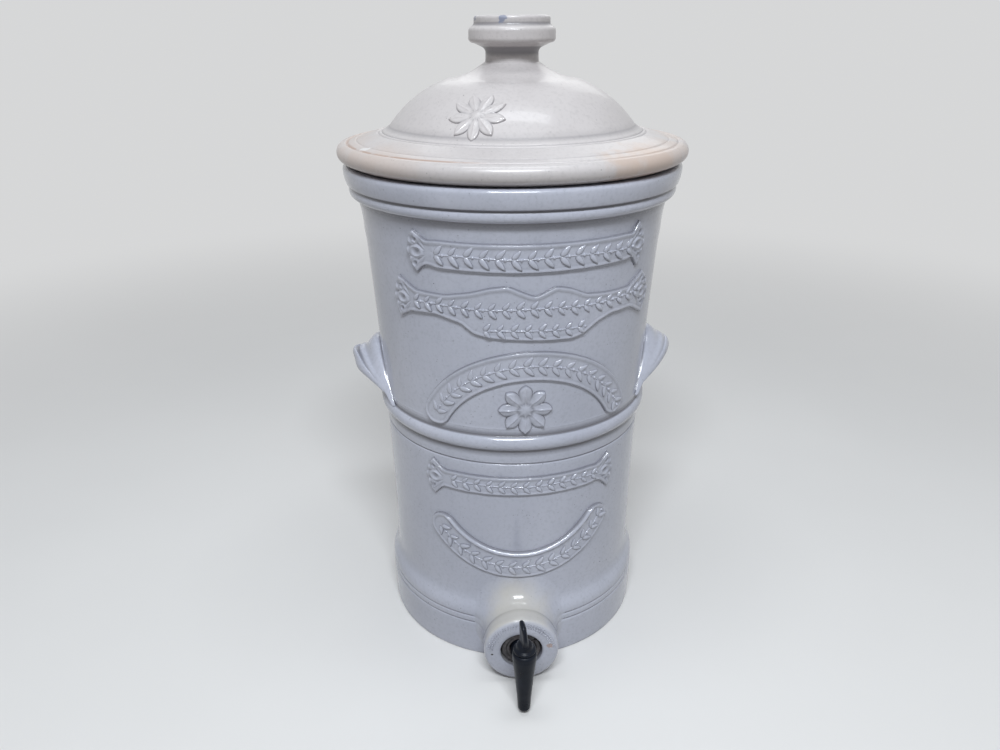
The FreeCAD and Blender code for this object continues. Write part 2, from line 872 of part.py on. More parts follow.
def make_wing_nut():
    body = new_body("stem_wing_nut")
    sketch = new_sketch(body, "XZ_Plane", "stem_wing_nut_profile")
    draw_outline(sketch, [
        (stem_hole, -sizes.nut_height),
        (sizes.nut_radius, -sizes.nut_height),
        (sizes.nut_radius, 0),
        (stem_hole, 0),
    ])
    spin(body, "Revolution", sketch, "stem_wing_nut_turned")
    for side in (1, -1):
        wing = new_sketch(body, "XZ_Plane", f"stem_wing_nut_wing_{side + 1}")
        root = side * (stem_hole + sizes.nut_radius) / 2
        tip = side * sizes.wing_reach
        draw_outline(wing, [
            (root, -sizes.nut_height),
            (tip, -sizes.wing_height),
            (tip + side * sizes.wing_edge, -sizes.wing_height / 2, side * sizes.wing_height / 2),
            (tip, -sizes.wing_thickness / 2),
            (root, -sizes.wing_thickness / 2),
        ])
        push(body, "Pad", wing, f"stem_wing_nut_blade_{side + 1}", sizes.wing_thickness, True)
    lift(body, plate_seat - sizes.washer_thickness)


def make_vent():
    drop = sizes.plate_thickness + sizes.vent_tail
    body = turned("air_vent_tube", [
        (sizes.vent_bore_radius, -drop),
        (sizes.vent_radius, -drop),
        (sizes.vent_radius, sizes.vent_washer_thickness),
        (sizes.vent_collar_radius, sizes.vent_washer_thickness),
        (sizes.vent_collar_radius, sizes.vent_washer_thickness + sizes.vent_collar_thickness),
        (sizes.vent_radius, sizes.vent_washer_thickness + sizes.vent_collar_thickness),
        (sizes.vent_radius, sizes.vent_top),
        (sizes.vent_bore_radius, sizes.vent_top),
    ])
    lift(body, plate_top)
    bind(body, "Placement.Base.y", sizes.vent_offset)


def make_vent_washer():
    inner = sizes.vent_radius + sizes.stem_clearance / 2
    body = ring("air_vent_washer", inner, sizes.vent_collar_radius, sizes.vent_washer_thickness,
                plate_top)
    bind(body, "Placement.Base.y", sizes.vent_offset)


# Tap

def make_boss():
    body = new_body("tap_boss")
    sketch = new_sketch(body, "YZ_Plane", "tap_boss_profile", up=sizes.tap_height)
    root = sizes.wall_foot_radius - sizes.wall_thickness
    flare_reach = foot_radius - sizes.boss_flare_depth
    draw_outline(sketch, [
        (-root, 0),
        (-boss_reach, 0),
        (-boss_reach, sizes.boss_radius - sizes.boss_bevel_width),
        (sizes.boss_bevel - boss_reach, sizes.boss_radius),
        (sizes.boss_straight - boss_reach, sizes.boss_radius),
        (-flare_reach, sizes.boss_flare_radius, sizes.boss_flare_round),
        (-root, sizes.boss_flare_radius),
    ])
    spin(body, "Revolution", sketch, "tap_boss_turned", "H_Axis")
    fit_to_crock(body)
    bore_for_bung(body)


tap_reach = boss_reach + sizes.tap_stand
shank_tail_reach = boss_reach - sizes.bung_recess - sizes.bung_length - sizes.shank_tail


def shank_at(reach):
    collar = boss_reach
    slope = (sizes.shank_radius - sizes.shank_tail_radius) / (collar - shank_tail_reach)
    return sizes.shank_radius - (collar - reach) * slope


def make_bung():
    body = new_body("tap_bung")
    sketch = new_sketch(body, "YZ_Plane", "tap_bung_profile", up=sizes.tap_height)
    face = boss_reach - sizes.bung_recess
    tail = face - sizes.bung_length
    draw_outline(sketch, [
        (-face, shank_at(face)),
        (-face, sizes.bung_outer_radius),
        (-tail, sizes.bung_inner_radius),
        (-tail, shank_at(tail)),
    ])
    spin(body, "Revolution", sketch, "tap_bung_turned", "H_Axis")


# Radius of the plug's taper at a height, before its running clearance.
def plug_at(height):
    rise = sizes.barrel_height - sizes.plug_foot_height
    slope = (sizes.plug_top_radius - sizes.plug_foot_radius) / rise
    return sizes.plug_foot_radius + (height - sizes.plug_foot_height) * slope


def make_tap_body():
    body = new_body("tap_body")
    barrel = new_sketch(body, "YZ_Plane", "tap_body_barrel", across=-tap_reach)
    draw_outline(barrel, [
        (0, sizes.spout_height),
        (sizes.spout_radius, sizes.spout_height),
        (sizes.spout_radius + sizes.spout_flare, sizes.spout_rise),
        (sizes.barrel_waist_radius, sizes.barrel_waist_height),
        (sizes.barrel_radius, sizes.barrel_height - sizes.barrel_cap_height),
        (sizes.barrel_radius, sizes.barrel_height - sizes.barrel_edge),
        (sizes.barrel_radius - sizes.barrel_edge, sizes.barrel_height, sizes.barrel_edge),
        (0, sizes.barrel_height),
    ])
    spin(body, "Revolution", barrel, "tap_body_barrel_turned")
    shank = new_sketch(body, "YZ_Plane", "tap_body_shank", up=sizes.tap_height)
    draw_outline(shank, [
        (-tap_reach, 0),
        (-tap_reach, sizes.spout_radius),
        (-boss_reach - sizes.shank_radius, sizes.shank_radius - sizes.barrel_edge),
        (-boss_reach, sizes.shank_radius),
        (-shank_tail_reach, sizes.shank_tail_radius),
        (-shank_tail_reach, 0),
    ])
    spin(body, "Revolution", shank, "tap_body_shank_turned", "H_Axis")
    bore = new_sketch(body, "YZ_Plane", "tap_body_bore", across=-tap_reach)
    draw_outline(bore, [
        (0, 0),
        (sizes.waterway_radius, 0),
        (sizes.waterway_radius, sizes.plug_foot_height),
        (sizes.plug_foot_radius, sizes.plug_foot_height),
        (sizes.plug_top_radius, sizes.barrel_height),
        (0, sizes.barrel_height),
    ])
    spin(body, "Groove", bore, "tap_body_plug_bore")
    waterway = new_sketch(body, "YZ_Plane", "tap_body_waterway", up=sizes.tap_height)
    draw_outline(waterway, [
        (-tap_reach, 0),
        (-tap_reach, sizes.waterway_radius),
        (-shank_tail_reach, sizes.waterway_radius),
        (-shank_tail_reach, 0),
    ])
    spin(body, "Groove", waterway, "tap_body_waterway_bore", "H_Axis")


def make_tap_key():
    body = new_body("tap_key")
    foot = sizes.plug_foot_height + sizes.seat_gap
    collar_foot = sizes.barrel_height + sizes.seat_gap
    collar_top = collar_foot + sizes.key_collar_height
    head_top = collar_top + sizes.key_head_height
    plug = new_sketch(body, "YZ_Plane", "tap_key_plug")
    draw_outline(plug, [
        (0, foot),
        (plug_at(foot) - sizes.plug_clearance, foot),
        (plug_at(collar_foot) - sizes.plug_clearance, collar_foot),
        (sizes.key_collar_radius, collar_foot),
        (sizes.key_collar_radius, collar_top),
        (sizes.key_head_radius, collar_top),
        (sizes.key_head_radius, head_top - sizes.key_head_dome),
        (0, head_top, bulge_radius(sizes.key_head_radius, sizes.key_head_dome)),
    ])
    spin(body, "Revolution", plug, "tap_key_plug_turned")
    blade = new_sketch(body, "YZ_Plane", "tap_key_blade", up=collar_top)
    draw_outline(blade, [
        (-sizes.blade_foot_half_width, 0),
        (sizes.blade_foot_half_width, 0),
        (sizes.blade_half_width, sizes.blade_rise),
        (0, sizes.blade_height, sizes.blade_round),
        (-sizes.blade_half_width, sizes.blade_rise, sizes.blade_round),
    ])
    push(body, "Pad", blade, "tap_key_thumb_blade", sizes.blade_thickness, True)
    drop = new_sketch(body, "YZ_Plane", "tap_key_drop")
    draw_outline(drop, [
        (0, 0),
        (sizes.waterway_radius, 0),
        (sizes.waterway_radius, sizes.tap_height),
        (0, sizes.tap_height),
    ])
    spin(body, "Groove", drop, "tap_key_drop_bore")
    port = new_sketch(body, "XZ_Plane", "tap_key_port", up=sizes.tap_height)
    draw_circle(port, 0, 0, sizes.waterway_radius)
    push(body, "Pocket", port, "tap_key_port_bore", sizes.plug_top_radius * 2)
    bind(body, "Placement.Base.y", -tap_reach)
    bind(body, "Placement.Rotation.Angle", sizes.key_angle)


make_crock()
handle_height = rib_height + sizes.handle_rise
make_handle("handle_left", 0, handle_height)
make_handle("handle_right", 180, handle_height + sizes.handle_stagger)
make_banner("banner_top", sizes.top_banner_across, sizes.wall_top_height + sizes.top_banner_rise,
            sizes.top_banner_half_length, sizes.top_banner_half_width,
            sizes.top_banner_ear, sizes.top_banner_ear_spread)
make_banner("banner_middle", sizes.middle_banner_across,
            sizes.wall_top_height - sizes.middle_banner_drop,
            sizes.middle_banner_half_length, sizes.middle_banner_half_width,
            sizes.middle_banner_ear, sizes.middle_banner_ear_spread,
            top=[
                (sizes.middle_banner_hump_reach * 2, sizes.middle_banner_swell),
                (sizes.middle_banner_hump_reach, sizes.middle_banner_hump),
                (0, sizes.middle_banner_swell),
                (-sizes.middle_banner_hump_reach, sizes.middle_banner_hump),
                (-sizes.middle_banner_hump_reach * 2, sizes.middle_banner_swell),
            ],
            bottom=[
                (-sizes.middle_banner_belly_reach, -sizes.middle_banner_swell),
                (-sizes.middle_banner_belly_floor, -sizes.middle_banner_belly),
                (sizes.middle_banner_belly_floor, -sizes.middle_banner_belly),
                (sizes.middle_banner_belly_reach, -sizes.middle_banner_swell),
            ])
make_bent_band("arch", 1, sizes.arch_across, rib_height - sizes.arch_drop, sizes.arch_radius,
               sizes.arch_half_width, sizes.arch_half_angle)
make_rosette()
make_banner("banner_lower", sizes.lower_banner_across, rib_height - sizes.lower_banner_drop,
            sizes.lower_banner_half_length, sizes.lower_banner_half_width,
            sizes.lower_banner_ear, sizes.lower_banner_ear_spread)
make_bent_band("swag", -1, sizes.swag_across, rib_height - sizes.swag_drop, sizes.swag_radius,
               sizes.swag_half_width, sizes.swag_half_angle)
make_lid()
make_knob()
make_flower()
make_gasket()
make_plate()
ring("stem_washer_upper", stem_hole, sizes.washer_radius, sizes.washer_thickness, plate_top)
ring("stem_washer_lower", stem_hole, sizes.washer_radius, sizes.washer_thickness,
     plate_seat - sizes.washer_thickness)
make_cup()
make_block()
make_stem()
make_wing_nut()
make_vent()
make_vent_washer()
make_boss()
make_bung()
make_tap_body()
make_tap_key()
doc.recompute()

faults = [item.Name for item in doc.Objects if "Invalid" in item.State or "Error" in item.State]
if faults:
    raise RuntimeError(f"These objects failed: {faults}")

sub_parts = [item for item in doc.Objects if item.isDerivedFrom("PartDesign::Body")]
for sub_part in sub_parts:
    shape = sub_part.Shape
    if shape.isNull() or not shape.isValid():
        raise RuntimeError(f"{sub_part.Label} has no valid shape")

os.makedirs("parts", exist_ok=True)
for sub_part in sub_parts:
    sub_part.Shape.exportStep(f"parts/{sub_part.Label}.step")
    box = sub_part.Shape.BoundBox
    print(f"{sub_part.Label}: {len(sub_part.Shape.Solids)} solid, volume {sub_part.Shape.Volume:.0f}, "
          f"z {box.ZMin:.1f} to {box.ZMax:.1f}")
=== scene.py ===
import math

import bpy
import numpy as np
from mathutils import Matrix, Vector


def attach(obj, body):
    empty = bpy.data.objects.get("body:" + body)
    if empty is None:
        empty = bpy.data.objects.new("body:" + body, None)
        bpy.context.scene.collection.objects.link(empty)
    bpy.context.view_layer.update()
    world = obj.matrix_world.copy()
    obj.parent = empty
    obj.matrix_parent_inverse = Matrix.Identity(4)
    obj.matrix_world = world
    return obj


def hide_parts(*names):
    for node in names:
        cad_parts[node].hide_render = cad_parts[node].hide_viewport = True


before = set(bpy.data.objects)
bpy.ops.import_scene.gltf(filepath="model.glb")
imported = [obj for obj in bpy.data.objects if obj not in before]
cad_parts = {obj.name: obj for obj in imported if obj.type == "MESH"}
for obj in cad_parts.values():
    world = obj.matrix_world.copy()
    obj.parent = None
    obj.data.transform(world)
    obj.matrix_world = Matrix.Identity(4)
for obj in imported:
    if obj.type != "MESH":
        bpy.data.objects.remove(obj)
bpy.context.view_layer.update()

mm = 0.001


# Node tools

class Value:
    # A number from a node. Sums and products of it add Math nodes.
    def __init__(self, nodes, socket):
        self.nodes = nodes
        self.socket = socket

    def math(self, operation, *others, clamp=False):
        return self.nodes.math(operation, self, *others, clamp=clamp)

    def __add__(self, other):
        return self.math("ADD", other)

    def __sub__(self, other):
        return self.math("SUBTRACT", other)

    def __rsub__(self, other):
        return self.nodes.math("SUBTRACT", other, self)

    def __mul__(self, other):
        return self.math("MULTIPLY", other)

    def __truediv__(self, other):
        return self.math("DIVIDE", other)

    def __pow__(self, other):
        return self.math("POWER", other)

    __radd__ = __add__
    __rmul__ = __mul__

    def size(self):
        return self.math("ABSOLUTE")

    def least(self, other):
        return self.math("MINIMUM", other)

    def capped(self):
        return self.math("ADD", 0.0, clamp=True)

    def rises(self, low, high):
        # 0 below low, 1 above high, smooth between
        return self.nodes.add("ShaderNodeMapRange", {"interpolation_type": "SMOOTHSTEP"}, {
            "Value": self, "From Min": low, "From Max": high})

    def falls(self, low, high):
        return 1 - self.rises(low, high)


class Nodes:
    def __init__(self, tree):
        self.tree = tree
        self.tree.nodes.clear()

    def node(self, kind, settings=None, inputs=None):
        made = self.tree.nodes.new(kind)
        for setting, value in (settings or {}).items():
            setattr(made, setting, value)
        for key, value in (inputs or {}).items():
            self.feed(made.inputs[key], value)
        return made

    def add(self, kind, settings=None, inputs=None, output=0):
        return Value(self, self.node(kind, settings, inputs).outputs[output])

    def feed(self, socket, value):
        if isinstance(value, Value):
            self.tree.links.new(value.socket, socket)
        elif socket.type == "RGBA" and len(value) == 3:
            socket.default_value = (*value, 1)
        else:
            socket.default_value = value

    def math(self, operation, *values, clamp=False):
        return self.add("ShaderNodeMath", {"operation": operation, "use_clamp": clamp},
                        dict(enumerate(values)))

    def vector(self, operation, *values, output=0):
        return self.add("ShaderNodeVectorMath", {"operation": operation}, dict(enumerate(values)), output)

    def joined(self, x, y, z):
        return self.add("ShaderNodeCombineXYZ", inputs={0: x, 1: y, 2: z})

    def parted(self, vector):
        outputs = self.node("ShaderNodeSeparateXYZ", inputs={0: vector}).outputs
        return [Value(self, socket) for socket in outputs]


class Shader(Nodes):
    def blend(self, factor, first, second):
        return self.add("ShaderNodeMix", {"data_type": "RGBA"}, {0: factor, 6: first, 7: second}, 2)

    def seen(self):
        # 1 for rays from the camera, off a gloss and through a clear body, 0 for those that light
        rays = self.node("ShaderNodeLightPath").outputs
        camera, gloss, through = (Value(self, rays[f"Is {way} Ray"])
                                  for way in ("Camera", "Glossy", "Transmission"))
        return (camera + gloss + through).least(1.0)


class Surface(Shader):
    # A material whose values follow the place on the object, in metres
    def __init__(self, name):
        self.material = bpy.data.materials.new(name)
        self.material.use_nodes = True
        super().__init__(self.material.node_tree)
        self.place = self.add("ShaderNodeTexCoord", output="Object")
        self.x, self.y, self.z = self.parted(self.place)

    def attribute(self, name):
        return self.add("ShaderNodeAttribute", {"attribute_name": name}, output="Fac")

    def radius(self):
        return (self.x * self.x + self.y * self.y) ** 0.5

    def noise(self, scale, detail=3.0, roughness=0.5, stretch=(1, 1, 1)):
        mapped = self.add("ShaderNodeMapping", inputs={"Vector": self.place, "Scale": stretch})
        return self.add("ShaderNodeTexNoise", inputs={
            "Vector": mapped, "Scale": scale, "Detail": detail, "Roughness": roughness})

    def cells(self, scale, feature="F1"):
        return self.add("ShaderNodeTexVoronoi", {"feature": feature}, {
            "Vector": self.place, "Scale": scale}, "Distance")

    def spot(self, centre, reach, ragged, grain=400.0, core=0.75):
        # 1 round a place in millimetres, 0 beyond its reach, with a ragged edge
        away = self.vector("DISTANCE", self.place, tuple(c * mm for c in centre), output="Value")
        away = away / (reach * mm) + (self.noise(grain, 2.0) - 0.5) * ragged
        return away.falls(core, 1.0)

    def bump(self, height, distance, strength, under=None):
        inputs = {"Height": height, "Distance": distance, "Strength": strength}
        if under is not None:
            inputs["Normal"] = under
        return self.add("ShaderNodeBump", inputs=inputs)

    def finish(self, colour, roughness, normal, over=None, **fixed):
        surface = self.add("ShaderNodeBsdfPrincipled", inputs={
            "Base Color": colour, "Roughness": roughness, "Normal": normal, **fixed})
        if over is not None:
            amount, shader = over
            surface = self.add("ShaderNodeMixShader", inputs={0: amount, 1: surface, 2: shader})
        self.node("ShaderNodeOutputMaterial", inputs={0: surface})
        return self.material


class GeometryTree(Nodes):
    # Named sizes in, a real mesh of one material out
    def __init__(self, name, sizes):
        super().__init__(bpy.data.node_groups.new(name, "GeometryNodeTree"))
        sockets = self.tree.interface
        sockets.new_socket("Geometry", in_out="INPUT", socket_type="NodeSocketGeometry")
        sockets.new_socket("Geometry", in_out="OUTPUT", socket_type="NodeSocketGeometry")
        self.names = {}
        for word, value in {**sizes, "Material": None}.items():
            kind = {int: "Int", float: "Float"}.get(type(value), "Material")
            made = sockets.new_socket(word, in_out="INPUT", socket_type=f"NodeSocket{kind}")
            if value is not None:
                made.default_value = value
            self.names[word] = made.identifier
        self.start = self.node("NodeGroupInput")

    def given(self, name):
        return Value(self, self.start.outputs[name])

    def moved(self, geometry, x, y, z):
        return self.add("GeometryNodeSetPosition", inputs={
            "Geometry": geometry, "Position": self.joined(x, y, z)})

    def sampled(self, kind, geometry, value, row):
        return self.add("GeometryNodeSampleIndex", {"data_type": kind, "clamp": True}, {
            "Geometry": geometry, "Value": value, "Index": row})

    def stored(self, geometry, word, value):
        return self.add("GeometryNodeStoreNamedAttribute", {"data_type": "FLOAT", "domain": "POINT"}, {
            "Geometry": geometry, "Name": word, "Value": value})

    def end(self, geometry):
        real = self.add("GeometryNodeRealizeInstances", inputs={0: geometry})
        painted = self.add("GeometryNodeSetMaterial", inputs={
            "Geometry": real, "Material": self.given("Material")})
        self.node("NodeGroupOutput", inputs={0: painted})
        return self


print("materials")

glazeLook = {
    "wall": (0.430, 0.447, 0.522),       # cool grey body under the salt glaze
    "wallPale": (0.500, 0.517, 0.595),
    "pooledShade": (0.112, 0.108, 0.124),     # glaze pooled dark in the creases, and painted shade in creases, recesses and under the relief
    "lid": (0.500, 0.470, 0.466),
    "lidPale": (0.560, 0.530, 0.526),
    "flush": (0.52, 0.41, 0.345),        # peach flush of the fire
    "brown": (0.40, 0.27, 0.21),
    "chip": (0.68, 0.66, 0.65),
    "cream": (0.555, 0.525, 0.455),      # stain round the tap
    "iron": (0.035, 0.030, 0.032),
    "blue": (0.165, 0.19, 0.28),         # where the glaze is bare or cobalt-tinted
    "inside": (0.50, 0.47, 0.41),
    "grain": 0.22, "grainDark": 0.62, "specks": 0.85,
    # grains in a metre, and how deep they stand in metres
    "cloudScale": 9.0, "streakScale": 26.0, "grainScale": 420.0,
    "fineSpeckScale": 300.0, "speckFieldScale": 55.0, "largeSpeckScale": 62.0,
    "waveScale": 34.0, "waveDepth": 0.0010, "peelScale": 330.0, "peelDepth": 0.00010,
    "pitScale": 210.0, "pitDepth": 0.00008,
    "specular": 0.5, "coatRoughness": 0.06,
}
crockLook = {"creases": 0.85, "roughness": 0.15, "coat": 0.4}
lidLook = {"creases": 0.65, "roughness": 0.30, "coat": 0.25}

# Marks on the glaze: colour, strength, raggedness, place, reach, and where need be grain and core
lidChips = (
    ("chip", 1.0, 0.9, (-97.4, -55.2, 379.6), 5.0), ("chip", 1.0, 0.9, (62.0, 18.0, 404.0), 6.5),
    ("blue", 0.8, 1.4, (-7.6, -25.0, 458.2), 3.3), ("blue", 0.8, 1.4, (-25.3, -6.0, 458.6), 2.4),
    ("blue", 0.8, 1.4, (17.5, -19.5, 459.6), 1.2),
)
lidBurns = (
    ("flush", 0.8, 1.2, (84.0, -84.0, 378.0), 26.0, 120.0, 0.25),
    ("flush", 0.8, 1.2, (62.0, -101.0, 376.0), 20.0, 120.0, 0.25),
    ("iron", 1.0, 0.5, (39.2, -63.8, 399.9), 0.9), ("iron", 1.0, 0.5, (35.3, -71.0, 395.9), 1.0),
    ("iron", 1.0, 0.5, (-3.0, -84.0, 391.0), 0.7),
)
crockMarks = (
    ("blue", 1.0, 1.0, (113.0, -38.0, 356.0), 4.5), ("wallPale", 0.7, 1.3, (-46.5, -110.5, 358.5), 3.4),
    ("brown", 0.7, 1.6, (20.8, -129.0, 33.5), 2.2), ("iron", 1.0, 0.7, (-22.0, -129.0, 26.6), 1.1),
    ("iron", 1.0, 0.7, (-20.0, -106.0, 224.0), 0.9), ("iron", 1.0, 0.7, (-63.0, -84.0, 49.0), 1.3),
    ("iron", 1.0, 0.7, (-60.0, -86.0, 47.5), 0.8), ("iron", 1.0, 0.7, (52.0, -100.0, 354.5), 1.0),
    ("iron", 1.0, 0.7, (66.0, -74.0, 66.0), 0.9),
)


def marked(s, colour, marks):
    for name, strength, ragged, place, reach, *edge in marks:
        colour = s.blend(s.spot(place, reach, ragged, *edge) * strength, colour, glazeLook[name])
    return colour


def fireOnLid(s, colour):
    # Flushed edges, and brown in the line along the left edge
    edge = s.radius().rises(0.086, 0.112) * s.z.falls(0.386, 0.400)
    side = (s.x.size() * 11.0).rises(0.35, 1.15)
    flush = edge * side * s.noise(22.0, 3.0, 0.6).rises(0.34, 0.62)
    colour = s.blend(flush * 0.6, colour, glazeLook["flush"])
    colour = marked(s, colour, lidChips)
    line = s.radius().rises(0.1136, 0.1146) * s.radius().falls(0.1161, 0.1169) * s.z.rises(0.37, 0.375)
    line = line * s.x.falls(-0.05, -0.01) * s.noise(70.0, 3.0).rises(0.35, 0.55)
    colour = s.blend(line * 0.75, colour, glazeLook["brown"])
    return marked(s, colour, lidBurns)


def stainsOnCrock(s, colour):
    # A cream stain above and beside the tap, and the paler glaze inside
    stain = s.spot((-2, -120, 50), 40.0, 1.0, 45.0, 0.2) * s.y.rises(-0.1287, -0.1262)
    colour = s.blend(stain * 0.7, colour, glazeLook["cream"])
    colour = marked(s, colour, crockMarks)
    return s.blend(s.attribute("inside"), colour, glazeLook["inside"])


def stonewareGlaze(name, body, pale, look, stains):
    s = Surface(name)
    g = glazeLook
    cloud = s.noise(g["cloudScale"], 4.0, 0.55)
    streak = s.noise(g["streakScale"], 3.0, 0.5, stretch=(1, 1, 0.25))
    grain = s.noise(g["grainScale"], 2.0, 0.6)
    colour = s.blend((cloud * 0.7 + streak * 0.3).rises(0.36, 0.66), body, pale)
    dark = tuple(c * g["grainDark"] for c in body)
    colour = s.blend(grain.rises(0.45, 0.75) * g["grain"], colour, dark)
    # painted shade, with pooled glaze, in creases, incised lines and recesses
    pooledShade = s.attribute("poolShade").capped()
    colour = s.blend(pooledShade * look["creases"], colour, g["pooledShade"])
    # iron specks, a few large and many small
    fields = s.noise(g["speckFieldScale"], 2.0).rises(0.50, 0.62)
    fine = s.cells(g["fineSpeckScale"]).falls(0.05, 0.17) * fields
    large = s.cells(g["largeSpeckScale"]).falls(0.012, 0.034)
    specks = (fine * 0.55 + large).least(1.0)
    colour = s.blend(specks * g["specks"], colour, g["iron"])
    colour = stains(s, colour)
    # slow waves of a thick glaze, orange peel and pits
    normal = s.bump(s.noise(g["waveScale"], 2.0, 0.45), g["waveDepth"], 0.5)
    normal = s.bump(s.noise(g["peelScale"], 2.0, 0.5), g["peelDepth"], 0.4, normal)
    pits = s.cells(g["pitScale"]).rises(0.02, 0.22)
    normal = s.bump(pits - specks * 0.8, g["pitDepth"], 0.4, normal)
    roughness = look["roughness"] + (cloud - 0.5) * 0.16 + grain * 0.08 + pooledShade * 0.12
    return s.finish(colour, roughness, normal, **{
        "Specular IOR Level": g["specular"], "Coat Weight": look["coat"],
        "Coat Roughness": g["coatRoughness"]})


ebonite = {
    "dark": (0.0045, 0.0065, 0.012),
    "worn": (0.011, 0.014, 0.022),
    "brown": (0.022, 0.018, 0.016),
    "cloudScale": 60.0, "scratchScale": 900.0, "bloomScale": 180.0,
    "scratchDepth": 0.00006, "bloomDepth": 0.00018, "roughness": 0.30, "specular": 0.13,
}


def ebonitePolish(name):
    s = Surface(name)
    e = ebonite
    cloud = s.noise(e["cloudScale"], 4.0, 0.6)
    scratches = s.noise(e["scratchScale"], 2.0, 0.6, stretch=(1, 1, 0.08))
    bloom = s.noise(e["bloomScale"], 3.0, 0.65)
    colour = s.blend(cloud.rises(0.40, 0.72), e["dark"], e["worn"])
    colour = s.blend(bloom.rises(0.58, 0.80) * 0.5, colour, e["brown"])
    roughness = e["roughness"] + (cloud - 0.5) * 0.2 + scratches.rises(0.5, 0.8) * 0.12
    normal = s.bump(scratches, e["scratchDepth"], 0.5)
    normal = s.bump(bloom, e["bloomDepth"], 0.35, normal)
    return s.finish(colour, roughness, normal, **{"Specular IOR Level": e["specular"]})


rubber = {
    "dark": (0.030, 0.027, 0.030),
    "dusty": (0.120, 0.108, 0.112),
    "crack": (0.010, 0.009, 0.008),
    "patchScale": 120.0, "crumbScale": 900.0, "crackScale": 380.0, "depth": 0.00015, "roughness": 0.22,
}


def agedRubber(name):
    s = Surface(name)
    patch = s.noise(rubber["patchScale"], 4.0, 0.65)
    crumbs = s.noise(rubber["crumbScale"], 3.0, 0.7)
    cracks = s.cells(rubber["crackScale"], "DISTANCE_TO_EDGE").falls(0.0, 0.06)
    colour = s.blend(patch.rises(0.42, 0.68), rubber["dark"], rubber["dusty"])
    colour = s.blend(cracks * 0.6, colour, rubber["crack"])
    normal = s.bump(crumbs - cracks * 0.5, rubber["depth"], 0.7)
    return s.finish(colour, rubber["roughness"] + patch * 0.3, normal)


coal = {
    "dark": (0.012, 0.012, 0.013),
    "grey": (0.040, 0.039, 0.038),
    "fleck": (0.16, 0.16, 0.165),
    "bodyScale": 160.0, "poreScale": 520.0, "fleckScale": 1300.0, "depth": 0.0006, "roughness": 0.86,
}


def pressedCharcoal(name):
    s = Surface(name)
    body = s.noise(coal["bodyScale"], 5.0, 0.7)
    pores = s.cells(coal["poreScale"]).falls(0.10, 0.34)
    flecks = s.noise(coal["fleckScale"], 2.0, 0.6).rises(0.62, 0.74)
    colour = s.blend(body.rises(0.35, 0.7), coal["dark"], coal["grey"])
    colour = s.blend(flecks * 0.7, colour, coal["fleck"])
    normal = s.bump(body - pores * 0.8, coal["depth"], 0.8)
    return s.finish(colour, coal["roughness"] - flecks * 0.35, normal)


crockGlaze = stonewareGlaze("crockGlaze", glazeLook["wall"], glazeLook["wallPale"], crockLook,
                            stainsOnCrock)
lidGlaze = stonewareGlaze("lidGlaze", glazeLook["lid"], glazeLook["lidPale"], lidLook, fireOnLid)
slateEbonite = ebonitePolish("slateEbonite")
bungRubber = agedRubber("bungRubber")
charcoal = pressedCharcoal("charcoal")


# Mesh tools, all in millimetres

def gridFaces(rows, columns, closed=False):
    faces = []
    for row in range(rows - 1):
        for column in range(columns if closed else columns - 1):
            after = (column + 1) % columns
            faces.append((row * columns + column, row * columns + after,
                          (row + 1) * columns + after, (row + 1) * columns + column))
    return faces


def linked(name, data):
    obj = bpy.data.objects.new(name, data)
    bpy.context.scene.collection.objects.link(obj)
    return obj


def placesOf(obj):
    return np.array([v.co for v in obj.data.vertices]) / mm


def putPlaces(obj, places):
    obj.data.vertices.foreach_set("co", (places * mm).astype(np.float32).ravel())
    obj.data.update()


def meshVolume(mesh):
    mesh.calc_loop_triangles()
    places = np.array([v.co for v in mesh.vertices])
    corners = np.array([t.vertices[:] for t in mesh.loop_triangles])
    a, b, c = places[corners[:, 0]], places[corners[:, 1]], places[corners[:, 2]]
    return float(np.einsum("ij,ij->i", a, np.cross(b, c)).sum() / 6)


def settle(obj, body, slot, *nodes, material=None):
    # Faces outwards, one finish, one body
    mesh = obj.data
    if meshVolume(mesh) < 0:
        mesh.flip_normals()
    if material is not None:
        mesh.materials.clear()
        mesh.materials.append(material)
    mesh.shade_smooth()
    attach(obj, body)
    if nodes:
        obj.name = nodes[0] + "_made"
        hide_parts(*nodes)
    return obj


def onCrock(piece, name):
    settle(piece, "crock_body", "stoneware", name, material=crockGlaze)


def meshObject(name, places, faces, attributes=None, steps=()):
    mesh = bpy.data.meshes.new(name)
    mesh.from_pydata([tuple(p) for p in np.asarray(places) * mm], steps, faces)
    for word, values in (attributes or {}).items():
        layer = mesh.attributes.new(word, "FLOAT", "POINT")
        layer.data.foreach_set("value", np.asarray(values, np.float32))
    mesh.update()
    return linked(name, mesh)


def lineObject(name, places, attributes=None):
    return meshObject(name, places, [], attributes, [(i, i + 1) for i in range(len(places) - 1)])


# A skin of closed rings, either capped at both ends or closed into a hollow ring
def ringSkin(name, rings, poolShade=None, hollow=False):
    count, columns = rings.shape[:2]
    last = count * columns
    places = rings.reshape(-1, 3)
    poolShades = np.zeros(last) if poolShade is None else poolShade.ravel()
    faces = gridFaces(count, columns, True)
    if not hollow:
        places = np.concatenate([places, [rings[0].mean(0)], [rings[-1].mean(0)]])
        poolShades = np.append(poolShades, [poolShades[0], poolShades[-columns]])
    for column in range(columns):
        after = (column + 1) % columns
        if hollow:
            faces.append((last - columns + column, last - columns + after, after, column))
        else:
            faces.append((after, column, last))
            faces.append((last - columns + column, last - columns + after, last + 1))
    return meshObject(name, places, faces, None if poolShade is None else {"poolShade": poolShades})


def lyingRing(radius, angle, height):
    return np.stack([radius * np.cos(angle), radius * np.sin(angle), np.full(len(angle), height)], 1)


def standingRing(radius, angle, reach, height):
    # A ring that faces the front, its centre at a height and a reach in front of the axis
    return np.stack([radius * np.cos(angle), 0 * angle - reach, height + radius * np.sin(angle)], 1)


